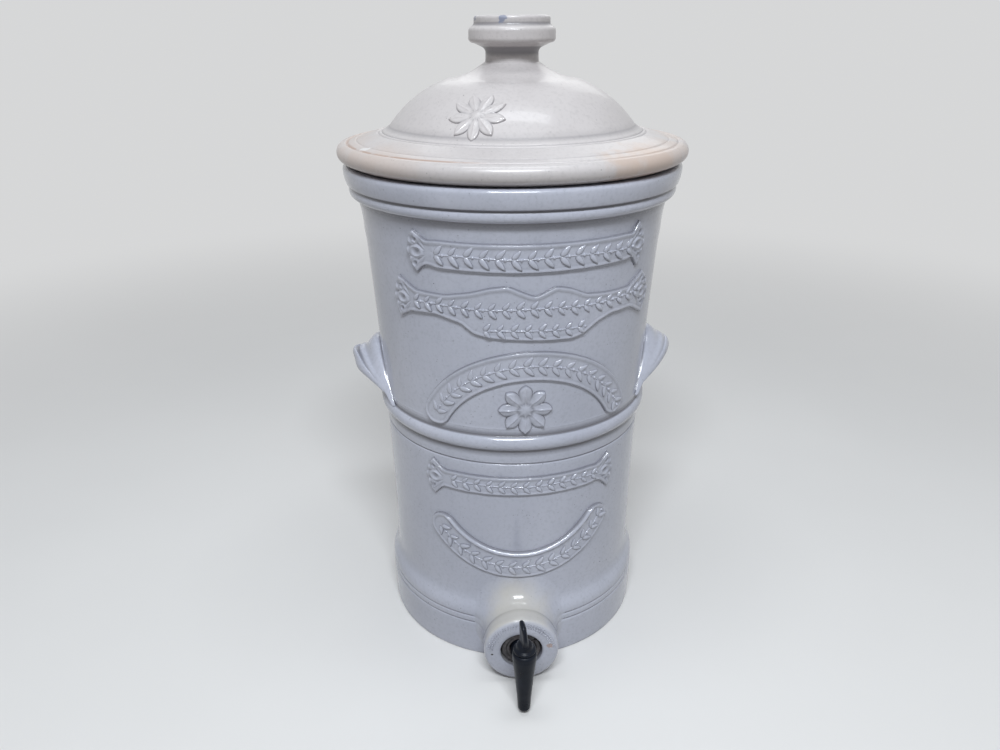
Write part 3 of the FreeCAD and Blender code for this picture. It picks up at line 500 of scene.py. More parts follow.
# Points along an arc between two places: a positive radius bulges to the right of the way there
def arcBetween(start, end, radius, steps=24):
    start, end = np.array(start, float), np.array(end, float)
    chord = end - start
    half = np.linalg.norm(chord) / 2
    side = np.array([chord[1], -chord[0]]) / (2 * half) * math.copysign(1, radius)
    reach = max(abs(radius), half * 1.0001)
    drop = math.sqrt(reach * reach - half * half)
    centre = (start + end) / 2 - side * drop
    first = start - centre
    swing = 2 * math.asin(min(1, half / reach)) * math.copysign(1, radius)
    angles = np.linspace(0, swing, steps + 1)[1:]
    return [centre + np.array([first[0] * math.cos(a) - first[1] * math.sin(a),
                               first[0] * math.sin(a) + first[1] * math.cos(a)]) for a in angles]


def blurLine(points, sigma):
    reach = int(sigma * 3) + 1
    weights = np.exp(-0.5 * (np.arange(-reach, reach + 1) / sigma) ** 2)
    weights /= weights.sum()
    first, last = points[0], points[-1]
    padded = np.concatenate([2 * first - points[reach:0:-1], points, 2 * last - points[-2:-reach - 2:-1]])
    return np.stack([np.convolve(padded[:, k], weights, "valid") for k in (0, 1)], 1)


# A profile as a potter leaves it: sampled closely, its corners softened, then thinned out again.
# Returns radius, height and how deep each point lies in a crease.
def softProfile(corners, soften, spacing, fine=0.3, crease=3.2, shallow=0.16, deep=0.4, bend=0.085):
    line = [np.array(corners[0][:2], float)]
    for corner in corners[1:]:
        if len(corner) == 3:
            line.extend(arcBetween(line[-1], corner[:2], corner[2]))
        else:
            line.append(np.array(corner, float))
    line = np.array(line)
    steps = np.linalg.norm(np.diff(line, axis=0), axis=1)
    along = np.concatenate([[0], np.cumsum(steps)])
    count = int(along[-1] / fine) + 1
    even = np.linspace(0, along[-1], count)
    points = np.stack([np.interp(even, along, line[:, k]) for k in (0, 1)], 1)
    smooth = blurLine(points, soften / fine)
    wide = blurLine(smooth, crease / fine)
    heading = np.gradient(smooth, axis=0)
    heading /= np.linalg.norm(heading, axis=1)[:, None] + 1e-9
    outward = np.stack([heading[:, 1], -heading[:, 0]], 1)
    depth = np.einsum("ij,ij->i", wide - smooth, outward)
    keep = [0]
    turned = 0.0
    for i in range(1, count - 1):
        cross = heading[i - 1][0] * heading[i][1] - heading[i - 1][1] * heading[i][0]
        turned += abs(math.asin(max(-1, min(1, cross))))
        if turned > bend or (i - keep[-1]) * fine > spacing:
            keep.append(i)
            turned = 0.0
    keep.append(count - 1)
    return smooth[keep], np.clip((depth[keep] - shallow) / deep, 0, 1)


# Runs a tree on an object with its sizes and leaves a plain mesh
def grow(obj, tree, **given):
    modifier = obj.modifiers.new("grow", "NODES")
    modifier.node_group = tree.tree
    for name, value in given.items():
        modifier[tree.names[name]] = value
    bpy.context.view_layer.update()
    graph = bpy.context.evaluated_depsgraph_get()
    mesh = bpy.data.meshes.new_from_object(obj.evaluated_get(graph))
    obj.modifiers.clear()
    old = obj.data
    obj.data = mesh
    bpy.data.meshes.remove(old)
    mesh.name = obj.name
    return obj


# How the wobble changes round the pot and upwards, and the radius where it is full, in metres
wobbleForm = {"around": 1.3, "upwards": 9.0, "full": 0.02}


# The potter's wheel: turns a profile line about the axis, with the slight wobble of a thrown pot
def wheelTree():
    tree = GeometryTree("wheel", {"Turns": 240, "Wobble": 0.0, "Seed": 1.0})
    profile = tree.given("Geometry")
    turns = tree.given("Turns")
    count = tree.add("GeometryNodeAttributeDomainSize", inputs={0: profile})
    grid = tree.add("GeometryNodeMeshGrid", inputs={"Vertices X": turns + 1, "Vertices Y": count})
    index = tree.add("GeometryNodeInputIndex")
    column = (index / count).math("FLOOR")
    row = index - column * count
    angle = column / turns * math.tau
    place = tree.add("GeometryNodeInputPosition")
    radius, _, height = tree.parted(tree.sampled("FLOAT_VECTOR", profile, place, row))
    across, deep = angle.math("COSINE"), angle.math("SINE")
    noise = tree.add("ShaderNodeTexNoise", {"noise_dimensions": "4D"}, {
        "Vector": tree.joined(across * wobbleForm["around"], deep * wobbleForm["around"],
                              height * wobbleForm["upwards"]),
        "W": tree.given("Seed"), "Scale": 1.0, "Detail": 2.0})
    # none on the axis
    radius = radius + (noise - 0.5) * tree.given("Wobble") * (radius * (1 / wobbleForm["full"])).capped()
    shape = tree.moved(grid, radius * across, radius * deep, height)
    for word in ("poolShade", "inside"):
        value = tree.add("GeometryNodeInputNamedAttribute", {"data_type": "FLOAT"}, {"Name": word})
        shape = tree.stored(shape, word, tree.sampled("FLOAT", profile, value, row))
    return tree.end(tree.add("GeometryNodeMergeByDistance", inputs={
        "Geometry": shape, "Distance": 0.02 * mm}))


wheel = wheelTree()


def turn(name, material, corners, soften=0.5, spacing=3.0, turns=200, wobble=0.0, seed=1.0, inside=None):
    line, poolShade = softProfile(corners, soften, spacing)
    line[:, 0] = np.maximum(line[:, 0], 0)
    if corners[0][0] == 0:
        line[0][0] = 0
    if corners[-1][0] == 0:
        line[-1][0] = 0
    hidden = np.zeros(len(line)) if inside is None else inside(line)
    places = np.stack([line[:, 0], np.zeros(len(line)), line[:, 1]], 1)
    obj = lineObject(name, places, {"poolShade": poolShade, "inside": hidden})
    return grow(obj, wheel, Turns=turns, Wobble=wobble * mm, Seed=seed, Material=material)


# A turned piece with its body. The sizes are turn's, from the softening on.
def turned(name, body, slot, material, corners, *sizes, forward=0.0):
    return settle(shift(turn(name, material, corners, *sizes), forward=forward), body, slot, name)


# Lays a piece that was turned upright down along the tap's shank
def layForward(obj, height):
    places = placesOf(obj)
    putPlaces(obj, np.stack([places[:, 0], -places[:, 2], height + places[:, 1]], 1))
    return obj


# The mesh that an object's modifiers give
def applied(obj):
    graph = bpy.context.evaluated_depsgraph_get()
    bpy.context.view_layer.update()
    mesh = bpy.data.meshes.new_from_object(obj.evaluated_get(graph))
    obj.modifiers.clear()
    obj.data = mesh
    return obj


# Melts overlapping parts into one moulding
def melt(name, parts, voxel, smoothing):
    places, faces = [], []
    for part in parts:
        start = len(places)
        places += [tuple(v.co / mm) for v in part.data.vertices]
        faces += [tuple(i + start for i in polygon.vertices) for polygon in part.data.polygons]
        bpy.data.objects.remove(part)
    obj = meshObject(name, places, faces)
    remesh = obj.modifiers.new("melt", "REMESH")
    remesh.mode = "VOXEL"
    remesh.voxel_size = voxel * mm
    smooth = obj.modifiers.new("smooth", "SMOOTH")
    smooth.iterations = smoothing
    smooth.factor = 0.5
    return applied(obj)


# Cuts a tool out of an object, or joins it on, and uses the tool up
def combine(obj, tool, operation="DIFFERENCE"):
    boolean = obj.modifiers.new("combine", "BOOLEAN")
    boolean.operation = operation
    boolean.solver = "EXACT"
    boolean.object = tool
    applied(obj)
    bpy.data.objects.remove(tool)


def shift(obj, across=0.0, forward=0.0, up=0.0):
    obj.data.transform(Matrix.Translation((across * mm, -forward * mm, up * mm)))
    return obj


# A straight round tool for a bore along the wheel's axis
def drill(radius, low, high, material):
    return turn("drill", material, [(0, low), (radius, low), (radius, high), (0, high)], 0.02, 20, 48)


print("crock")

crockForm = {
    "baseRadius": 103.2, "footRadius": 103.7, "footHeight": 38.0, "footEdge": 1.5,
    "shoulderRadius": 101.7, "shoulderHeight": 45.8, "shoulderRound": 16.2,
    "wallFootRadius": 98.4, "wallFootHeight": 58.0, "coveRound": 25.0,
    "wallTopRadius": 108.2, "wallTopHeight": 322.0, "wallBow": 3735.7,
    "footLines": (30.3, 36.0), "wallLine": 172.0, "faintLine": 200.4,
    "lineWidth": 2.0, "lineDepth": 1.05,
    "ribHeight": 189.1, "ribWidth": 11.4, "ribRound": 6.3,
    "coveRadius": 111.5, "coveHeight": 345.3, "rimCoveRound": 90.0,
    "beadRadius": 116.0, "beadHeight": 352.4, "beadRound": 4.5, "beadGap": 115.6,
    "bandFootRadius": 118.1, "bandFootHeight": 354.3,
    "rimRadius": 120.0, "rimHeight": 366.8, "rimEdge": 3.0, "bandRound": 25.0,
    "mouthRadius": 100.0, "mouthDepth": 22.0, "wallThickness": 9.8,
    "ledgeRadius": 80.0, "ledgeHeight": 176.0, "ledgeLip": 7.0, "ledgeTaper": 14.0,
    "floorThickness": 12.0, "floorRound": 8.0,
    "wobble": 0.12,
}


def wallRadius(height):
    c = crockForm
    climb = height - c["wallFootHeight"]
    return c["wallFootRadius"] + c["wallBow"] - math.sqrt(c["wallBow"] ** 2 - climb ** 2)


def footRadius(height):
    c = crockForm
    return c["baseRadius"] + (c["footRadius"] - c["baseRadius"]) * height / c["footHeight"]


def groove(radiusAt, height, width, depth):
    low, high = height - width / 2, height + width / 2
    return [(radiusAt(low), low), (radiusAt(height) - depth, height), (radiusAt(high), high)]


def crockOutside():
    c = crockForm
    rib = c["ribWidth"] / 2
    corners = [(c["baseRadius"] - c["footEdge"], 0), (c["baseRadius"], c["footEdge"], c["footEdge"])]
    for height in c["footLines"]:
        corners += groove(footRadius, height, c["lineWidth"], c["lineDepth"])
    corners += [(c["footRadius"], c["footHeight"]),
                (c["shoulderRadius"], c["shoulderHeight"], c["shoulderRound"]),
                (c["wallFootRadius"], c["wallFootHeight"], -c["coveRound"])]
    corners += [(wallRadius(h), h) for h in np.linspace(c["wallFootHeight"], c["wallLine"] - 3, 12)[1:]]
    corners += groove(wallRadius, c["wallLine"], c["lineWidth"], c["lineDepth"])
    corners += [(wallRadius(c["ribHeight"] - rib), c["ribHeight"] - rib),
                (wallRadius(c["ribHeight"] + rib), c["ribHeight"] + rib, c["ribRound"])]
    corners += groove(wallRadius, c["faintLine"], 1.6, -0.28)
    corners += [(wallRadius(h), h) for h in np.linspace(c["faintLine"] + 3, c["wallTopHeight"] - 8, 12)]
    corners.append((c["wallTopRadius"], c["wallTopHeight"]))
    corners += [(c["coveRadius"], c["coveHeight"], -c["rimCoveRound"]),
                (c["beadRadius"], c["beadHeight"], c["beadRound"]),
                (c["beadGap"], c["beadHeight"] + 0.8),
                (c["bandFootRadius"], c["bandFootHeight"]),
                (c["rimRadius"], c["rimHeight"] - c["rimEdge"], c["bandRound"]),
                (c["rimRadius"] - c["rimEdge"], c["rimHeight"], c["rimEdge"])]
    return corners


def crockInside():
    c = crockForm
    lower = c["wallFootRadius"] - c["wallThickness"]
    lip = c["ledgeHeight"] - c["ledgeLip"]
    return [(c["mouthRadius"] + 1.5, c["rimHeight"]),
            (c["mouthRadius"], c["rimHeight"] - 1.5, 1.5),
            (c["mouthRadius"], c["rimHeight"] - c["mouthDepth"]),
            (c["wallTopRadius"] - c["wallThickness"], c["wallTopHeight"]),
            (wallRadius(c["ledgeHeight"]) - c["wallThickness"], c["ledgeHeight"]),
            (c["ledgeRadius"], c["ledgeHeight"]), (c["ledgeRadius"], lip),
            (lower, lip - c["ledgeTaper"]), (lower, c["floorThickness"] + c["floorRound"]),
            (lower - c["floorRound"], c["floorThickness"], -c["floorRound"]),
            (0, c["floorThickness"])]


def insideOfCrock(line):
    c = crockForm
    top = int(np.argmax(line[:, 1]))
    marks = np.zeros(len(line))
    marks[top:] = 1
    return marks * (line[:, 0] < c["mouthRadius"] + 3)


crock = turn("crock", crockGlaze, [(0, 0), *crockOutside(), *crockInside()], soften=0.34, spacing=4.0,
             turns=224, wobble=crockForm["wobble"], inside=insideOfCrock)
outline, _ = softProfile([(0, 0), *crockOutside()], 0.34, 1.0)
outline = outline[outline[:, 0] > 90]


# The crock's outside radius at a height
def outside(height):
    return np.interp(height, outline[:, 1], outline[:, 0])


# A point on the crock's outside: its way round from the front in millimetres of wall, its height,
# and how far it stands off the wall
def onWall(across, height, off):
    radius = outside(height)
    angle = across / radius
    return np.stack([(radius + off) * np.sin(angle), -(radius + off) * np.cos(angle), height], -1)


print("relief")

reliefForm = {
    "skirt": ((0, -0.45), (0.2, 0.35), (0.4, 1.0), (0.65, 1.65), (0.95, 2.05), (1.3, 2.2), (1.8, 2.2),
              (2.4, 2.05), (3.0, 1.85), (3.6, 1.68), (4.3, 1.62)),     # way in from the edge, height
    # painted shade and pooled glaze by the way in from the edge: darkest at the outline where the relief
    # meets the wall, and again in the dip inside the border
    "poolShade": ((0, 1.0), (0.6, 0.7), (1.2, 0.0), (2.6, 0.0), (3.3, 0.35), (4.0, 0.12), (5.0, 0.0)),
    "under": -1.6, "step": 0.62, "rows": 34, "bandRows": 12,
    "thumb": 0.10,                         # how far uneven pressure raises or lowers it
    "rollIn": 2.8, "rollHalf": 1.9,        # place and half width of a bent band's roll
}


def fractions(length, inner):
    # Shares of a length, close together near both ends
    edge = np.array([way for way, _ in reliefForm["skirt"]])
    edge = edge * min(1, 0.45 * length / edge[-1])
    middle = np.linspace(edge[-1], length - edge[-1], inner + 2)[1:-1]
    return np.concatenate([edge, middle, length - edge[::-1]]) / length


def wayIn(flat):
    # How far each point of a flat grid lies from the grid's own edge
    rim = np.concatenate([flat[0], flat[1:, -1], flat[-1, -2::-1], flat[-2::-1, 0]])
    start, run = rim[:-1], np.diff(rim, axis=0)
    length = (run ** 2).sum(1) + 1e-9
    away = np.zeros(flat.shape[:2])
    for row in range(len(flat)):
        apart = flat[row][:, None] - start[None]
        along = np.clip((apart * run).sum(2) / length, 0, 1)
        away[row] = np.linalg.norm(apart - along[..., None] * run, axis=2).min(1)
    return away


def shell(name, front, back, attributes):
    rows, columns = front.shape[:2]
    count = rows * columns
    faces = gridFaces(rows, columns)
    faces += [tuple(i + count for i in reversed(face)) for face in faces]
    index = np.arange(count).reshape(rows, columns)
    rim = [int(i) for i in (*index[0], *index[1:, -1], *index[-1, -2::-1], *index[-2:0:-1, 0])]
    faces += [(b, a, a + count, b + count) for a, b in zip(rim, rim[1:] + rim[:1])]
    places = np.concatenate([front.reshape(-1, 3), back.reshape(-1, 3)])
    return meshObject(name, places, faces, attributes)


def thumbed(a, b):
    # The uneven pressure of a thumb, between -1 and 1
    return (np.sin(0.19 * a + 1.3) * np.sin(0.27 * b + 0.11 * a) + np.sin(0.43 * a - 0.31 * b + 0.7)) / 2


# A piece of relief over a flat grid, with what is pressed into it
def sprig(name, flat, extra):
    away = wayIn(flat)
    off = np.interp(away, *np.array(reliefForm["skirt"]).T)
    pressed = extra(flat, away)
    off = off + reliefForm["thumb"] * thumbed(flat[..., 0], flat[..., 1]) + pressed
    # painted shade and pooled glaze at the edges and in what is pressed in; the hidden back is all dark
    poolShade = np.interp(away, *np.array(reliefForm["poolShade"]).T)
    poolShade = np.clip(poolShade - 0.9 * np.minimum(pressed, 0), 0, 1)
    front = onWall(flat[..., 0], flat[..., 1], off)
    back = onWall(flat[..., 0], flat[..., 1], np.full(off.shape, reliefForm["under"]))
    poolShades = np.concatenate([poolShade.ravel(), np.ones(poolShade.size)])
    onCrock(shell(name, front, back, {"poolShade": poolShades}), name)


def smoothLine(points, sigma=1.7, fine=0.4):
    points = np.array(points, float)
    way = np.concatenate([[0], np.cumsum(np.linalg.norm(np.diff(points, axis=0), axis=1))])
    even = np.linspace(0, way[-1], int(way[-1] / fine) + 1)
    return blurLine(np.stack([np.interp(even, way, points[:, k]) for k in (0, 1)], 1), sigma / fine)


def atShare(line, share):
    across = line[0, 0] + (line[-1, 0] - line[0, 0]) * share
    return np.stack([across, np.interp(across, line[:, 0], line[:, 1])], -1)


banners = {
    "banner_top": {
        "top": ((-72.6, 337.8), (-66, 333.5), (-61.5, 331.3), (-56, 332.3), (0, 332.0), (75, 332.3),
                (79, 331.5), (86, 339)),
        "bottom": ((-69.6, 308.4), (-65.5, 313), (-61, 315), (-56, 313.3), (0, 312.6), (75, 313.5),
                   (80, 315), (86, 307)),
        "tips": (-77.5, 93.0), "loops": ((-70.0, 323.0), (86.0, 323.0)),
    },
    "banner_middle": {
        "top": ((-88, 304), (-72, 296.5), (-50, 296.5), (-32, 300), (-20, 303.5), (-8, 305), (2, 300.5),
                (9, 297.7), (14, 300), (22, 304), (32, 302), (44, 296.5), (60, 295), (80, 294.5),
                (96, 302.6)),
        "bottom": ((-88, 274), (-77, 280), (-57, 281.5), (-39.5, 277.5), (-31, 270.8), (-20, 268.3),
                   (9, 266.5), (33, 265.7), (42, 267.7), (53, 275), (64, 278.5), (83, 278.5),
                   (99, 270)),
        "tips": (-93.0, 106.0), "loops": ((-85.0, 288.6), (97.0, 286.6)),
    },
    "banner_lower": {
        "top": ((-65.5, 169), (-59, 163.5), (-55, 161.3), (-50, 162), (54, 162), (60, 161), (65, 163),
                (71.4, 168)),
        "bottom": ((-64.6, 137.7), (-60, 143), (-56, 147), (-50, 146.5), (54, 146.5), (60, 147.5),
                   (65, 144.5), (71.7, 137)),
        "tips": (-72.6, 77.0), "loops": ((-64.5, 153.6), (69.5, 152.8)),
    },
}


earForm = {
    "scallops": 1.5, "reach": 12.0,
    # scrolls: aside, above, half width, half height
    "scrolls": ((-0.4, 0.0, 4.0, 3.2), (0.6, 8.0, 1.9, 2.3), (0.6, -8.0, 1.9, 2.3)),
    "scrollRise": 0.9, "scrollLine": 0.22, "scrollHollow": 0.8,
    "folds": 15.0, "foldRise": 0.65, "foldReach": 7.5, "foldsFrom": 9.0,
}


def bannerGrid(form):
    top, bottom = smoothLine(form["top"]), smoothLine(form["bottom"])
    length = top[-1, 0] - top[0, 0]
    along = fractions(length, int(length / reliefForm["step"]))
    upper, lower = atShare(top, along), atShare(bottom, along)
    tall = np.linalg.norm(upper - lower, axis=1)
    shares = np.stack([fractions(height, reliefForm["rows"]) for height in tall], 1)
    flat = lower[None] + (upper - lower)[None] * shares[..., None]
    for tip, corner, way in ((form["tips"][0], flat[:, 0], along * length),
                             (form["tips"][1], flat[:, -1], (1 - along) * length)):
        share = np.linspace(0, 1, len(corner))
        middle = (corner[0, 0] + corner[-1, 0]) / 2
        bulge = (tip - middle) * 4 * shares[:, 0] * (1 - shares[:, 0])
        arcs = np.abs(np.sin(3 * math.pi * shares[:, 0])) - 0.5
        scallop = math.copysign(earForm["scallops"], tip) * arcs
        reach = np.clip(1 - way / earForm["reach"], 0, 1) ** 1.5
        flat[..., 0] += (bulge + scallop * np.sin(math.pi * share))[:, None] * reach[None]
    return flat


def earFolds(form):
    # Open scrolls and fanned folds pressed into each flared end
    def folds(flat, away):
        ear = earForm
        rise = np.zeros(away.shape)
        for (across, height), side in zip(form["loops"], (-1, 1)):
            out, up = (flat[..., 0] - across) * side, flat[..., 1] - height
            free = np.ones(away.shape)
            for aside, above, wide, tall in ear["scrolls"]:
                loop = np.hypot((out - aside) / wide, (up - above) / tall)
                rise += ear["scrollRise"] * np.exp(-((loop - 1) / ear["scrollLine"]) ** 2)
                rise -= ear["scrollHollow"] * np.exp(-(loop / 0.55) ** 2)
                free *= np.clip((loop - 1.3) * 4, 0, 1)
            fan = np.cos(np.arctan2(up, out + ear["foldsFrom"]) * ear["folds"])
            fade = np.exp(-(np.hypot(out - 1, up * 0.62) / ear["foldReach"]) ** 4)
            rise += ear["foldRise"] * fan * free * fade
        return rise * np.clip((away - 0.7) / 1.0, 0, 1)
    return folds


for name, form in banners.items():
    sprig(name, bannerGrid(form), earFolds(form))

bentBands = {
    "arch": {"centre": (7.4, 172.4), "radius": 76.2, "halfWidth": 10.8, "angles": (-69.6, 68.6),
             "up": 1, "roll": 0.0},
    "swag": {"centre": (0.5, 164.3), "radius": 78.8, "halfWidth": 11.7, "angles": (-56.3, 58.8),
             "up": -1, "roll": 1.5},
}


def bentGrid(form):
    low, high = (math.radians(a) for a in form["angles"])
    length = (high - low) * form["radius"]
    along = fractions(length, int(length / reliefForm["step"]))
    end = np.minimum(along, 1 - along) * length
    half = form["halfWidth"] * np.sqrt(1 - (1 - np.clip(end / form["halfWidth"], 0.02, 1)) ** 2)
    shares = np.stack([fractions(2 * h, reliefForm["bandRows"]) for h in half], 1)
    radius = form["radius"] - half[None] + 2 * half[None] * shares
    angle = (low + (high - low) * along)[None] + 0 * radius
    across, height = form["centre"]
    return np.stack([across + radius * np.sin(angle), height + form["up"] * radius * np.cos(angle)], -1)


def innerRoll(form):
    # A fatter roll along the band's inner edge
    def roll(flat, away):
        across, height = form["centre"]
        radius = np.hypot(flat[..., 0] - across, flat[..., 1] - height)
        inward = radius - (form["radius"] - form["halfWidth"]) - reliefForm["rollIn"]
        swell = np.exp(-(inward / reliefForm["rollHalf"]) ** 2)
        return form["roll"] * swell * np.clip(away / 2.0, 0, 1)
    return roll


for name, form in bentBands.items():
    sprig(name, bentGrid(form), innerRoll(form))


rosetteForm = {
    "across": 3.5, "height": 215.8, "radius": 19.0, "petals": 8, "waist": 0.66, "point": 0.5, "dome": 1.5,
    "rise": 1.0, "rib": 0.55, "hub": 4.4, "hubRise": 1.5, "turn": 0.39, "under": -1.6,
}
flowerForm = {
    "radius": 19.4, "petals": 9, "waist": 0.61, "point": 0.72, "dome": 0.25, "rise": 0.75, "rib": 0.3,
    "hub": 3.4, "hubRise": 0.7, "turn": 0.2, "under": -1.2,
}


pressForm = {
    "columns": 24,            # per petal
    "insets": (16, 14, 12, 10, 8.6, 7.4, 6.4, 5.4, 4.5, 3.7, 3.0, 2.4, 1.9, 1.4, 1.0, 0.7, 0.45, 0.2, 0.0),
    "whole": 17.0,            # parts from the edge to the middle, which the insets count
    "skirt": ((0, -0.4), (0.3, 0.35), (0.7, 0.8), (1.2, 1.0), (2.0, 1.05), (3.0, 1.0)),
    "ribHalf": 0.55, "edgePoolShade": 0.9, "hubGroove": 1.12, "grooveHalf": 0.18,
    "grooveDark": 0.7, "gapDark": 0.6, "backs": [-1, 9, 3],
}


# A pressed flower: petals with a midrib each, and a hub. place(across, up, off) puts it on the clay.
def bloom(name, form, place):
    press = pressForm
    around = np.linspace(0, math.tau, form["petals"] * press["columns"], endpoint=False)
    share = ((around * form["petals"] / math.tau) % 1) * 2 - 1        # 0 at a petal's middle
    lobe = 1 - np.abs(share)
    edge = form["radius"] * (form["waist"] + (1 - form["waist"]) * lobe ** form["point"])
    inset = np.array(press["insets"]) / press["whole"]
    reach = (1 - inset)[:, None] * edge[None]
    away = (edge[None] - reach) * (0.45 + 0.4 * lobe[None])
    skirt = np.interp(away, *np.array(press["skirt"]).T) * form["rise"]
    swell = np.clip(reach / (form["hub"] * 1.4) - 0.7, 0, 1)
    off = skirt + form["dome"] * lobe[None] ** 0.7 * swell * np.clip(away / 1.3, 0, 1)
    side = share[None] * math.pi / form["petals"] * reach
    off = off + form["rib"] * np.exp(-(side / press["ribHalf"]) ** 2) * swell * np.clip(away, 0, 1)
    hub = np.clip(1 - (reach / form["hub"]) ** 2, 0, 1) ** 0.5
    off = off + form["hubRise"] * hub
    groove = np.exp(-((reach / form["hub"] - press["hubGroove"]) / press["grooveHalf"]) ** 2)
    # painted shade at the petals' edges, in the groove round the hub and between the petals
    poolShade = np.clip(1 - away / press["edgePoolShade"], 0, 1) + press["grooveDark"] * groove
    poolShade = poolShade + press["gapDark"] * (1 - lobe[None]) ** 3 * swell
    around = around + form["turn"]
    front = place(reach * np.cos(around), reach * np.sin(around), off)
    deep = reach[press["backs"]]
    back = place(deep * np.cos(around), deep * np.sin(around), np.full(deep.shape, form["under"]))
    poolShades = np.concatenate([np.clip(poolShade, 0, 1), np.ones(deep.shape)])
    return ringSkin(name, np.concatenate([front, back]), poolShades)


def onRosette(across, up, off):
    return onWall(rosetteForm["across"] + across, rosetteForm["height"] + up, off)


onCrock(bloom("rosette", rosetteForm, onRosette), "rosette")


# Leaf sprays and rows of strokes along a line on the clay: leaves in pairs, a bead between, a stem
sprayForm = {
    "leaf": 9.4, "leafWidth": 3.8, "leafHeight": 1.25, "spacing": 9.6, "splay": 46.0, "bead": 1.1,
    "stem": 0.6, "seat": 1.5, "seed": 4, "sway": 11.0,
}


leafForm = {
    "wide": 0.85, "pinch": 0.4,                       # width at the middle, and less of it to the tip
    "dark": 0.85, "darkFrom": 0.25, "darkTo": 0.62,   # the shade at the foot, and where it fades
    "least": 0.86, "most": 1.08, "spread": 0.6, "beadAhead": 0.62,
}


def sprayTree():
    form = leafForm
    tree = GeometryTree("spray", {
        "Leaf": 0.008, "Leaf width": 0.003, "Leaf height": 0.001, "Spacing": 0.009, "First": 0.7,
        "Second": -0.7, "Bead": 0.001, "Stem": 0.0005, "Seed": 1})
    path = tree.add("GeometryNodeMeshToCurve", inputs={0: tree.given("Geometry")})
    places = tree.add("GeometryNodeResampleCurve", {"mode": "LENGTH"}, {
        "Curve": path, "Length": tree.given("Spacing")})
    place = tree.add("GeometryNodeInputPosition")
    outward = tree.vector("NORMALIZE", tree.vector("MULTIPLY", place, (1, 1, 0)))
    along = tree.add("GeometryNodeInputTangent")
    facing = tree.add("FunctionNodeAxesToRotation", {"primary_axis": "Z", "secondary_axis": "X"}, {
        0: outward, 1: along})
    # a leaf: a ball drawn out and pinched towards its tip, with painted shade round its foot
    ball = tree.add("GeometryNodeMeshUVSphere", inputs={"Segments": 10, "Rings": 8, "Radius": 1.0})
    x, y, z = tree.parted(place)
    pinched = tree.moved(ball, x, y * (form["wide"] - x * form["pinch"]), z)
    low = tree.add("ShaderNodeMapRange", inputs={
        "Value": z, "From Min": form["darkFrom"], "From Max": form["darkTo"],
        "To Min": form["dark"], "To Max": 0.0})
    half = tree.given("Leaf") * 0.5
    leaf = tree.add("GeometryNodeTransform", inputs={
        "Geometry": tree.stored(pinched, "poolShade", low), "Translation": tree.joined(half, 0.0, 0.0),
        "Scale": tree.joined(half, tree.given("Leaf width") * form["spread"], tree.given("Leaf height"))})
    made = []
    for step, word in enumerate(("First", "Second")):
        scale = tree.add("FunctionNodeRandomValue", {"data_type": "FLOAT"}, {
            2: form["least"], 3: form["most"], "Seed": tree.given("Seed") + step}, 1)
        row = tree.add("GeometryNodeInstanceOnPoints", inputs={
            "Points": places, "Instance": leaf, "Rotation": facing, "Scale": scale})
        bend = tree.add("FunctionNodeEulerToRotation", inputs={0: tree.joined(0.0, 0.0, tree.given(word))})
        made.append(tree.add("GeometryNodeRotateInstances", inputs={
            "Instances": row, "Rotation": bend, "Local Space": True}))
    bead = tree.add("GeometryNodeMeshIcoSphere", inputs={"Radius": tree.given("Bead"), "Subdivisions": 2})
    ahead = tree.add("GeometryNodeTransform", inputs={
        "Geometry": bead,
        "Translation": tree.joined(tree.given("Spacing") * form["beadAhead"], 0.0, 0.0)})
    made.append(tree.add("GeometryNodeInstanceOnPoints", inputs={
        "Points": places, "Instance": ahead, "Rotation": facing}))
    line = tree.add("GeometryNodeResampleCurve", {"mode": "LENGTH"}, {"Curve": path, "Length": 2 * mm})
    ring = tree.add("GeometryNodeCurvePrimitiveCircle", inputs={
        "Resolution": 8, "Radius": tree.given("Stem")})
    made.append(tree.add("GeometryNodeCurveToMesh", inputs={
        "Curve": line, "Profile Curve": ring, "Fill Caps": True}))
    joined = tree.node("GeometryNodeJoinGeometry")
    for part in made:
        tree.feed(joined.inputs[0], part)
    return tree.end(Value(tree, joined.outputs[0]))


sprays = sprayTree()


def sprayAlong(name, places, changes):
    form = {**sprayForm, **changes}
    obj = lineObject(name, places)
    first = math.radians(form["splay"])
    grow(obj, sprays, **{
        "Leaf": form["leaf"] * mm, "Leaf width": form["leafWidth"] * mm, "Spacing": form["spacing"] * mm,
        "Leaf height": form["leafHeight"] * mm, "First": first, "Second": form.get("second", -first),
        "Bead": form["bead"] * mm, "Stem": form["stem"] * mm, "Seed": form["seed"],
        "Material": crockGlaze})
    settle(obj, "crock_body", "stoneware")


def levelLine(start, end, height, sway=0.0):
    across = np.linspace(start, end, 90)
    return across, height + sway * np.sin((across - start) / sprayForm["sway"])


def bentLine(form, outward, margin):
    angle = np.radians(np.linspace(form["angles"][0] + margin, form["angles"][1] - margin, 120))
    radius = form["radius"] + outward
    return (form["centre"][0] + radius * np.sin(angle),
            form["centre"][1] + form["up"] * radius * np.cos(angle))


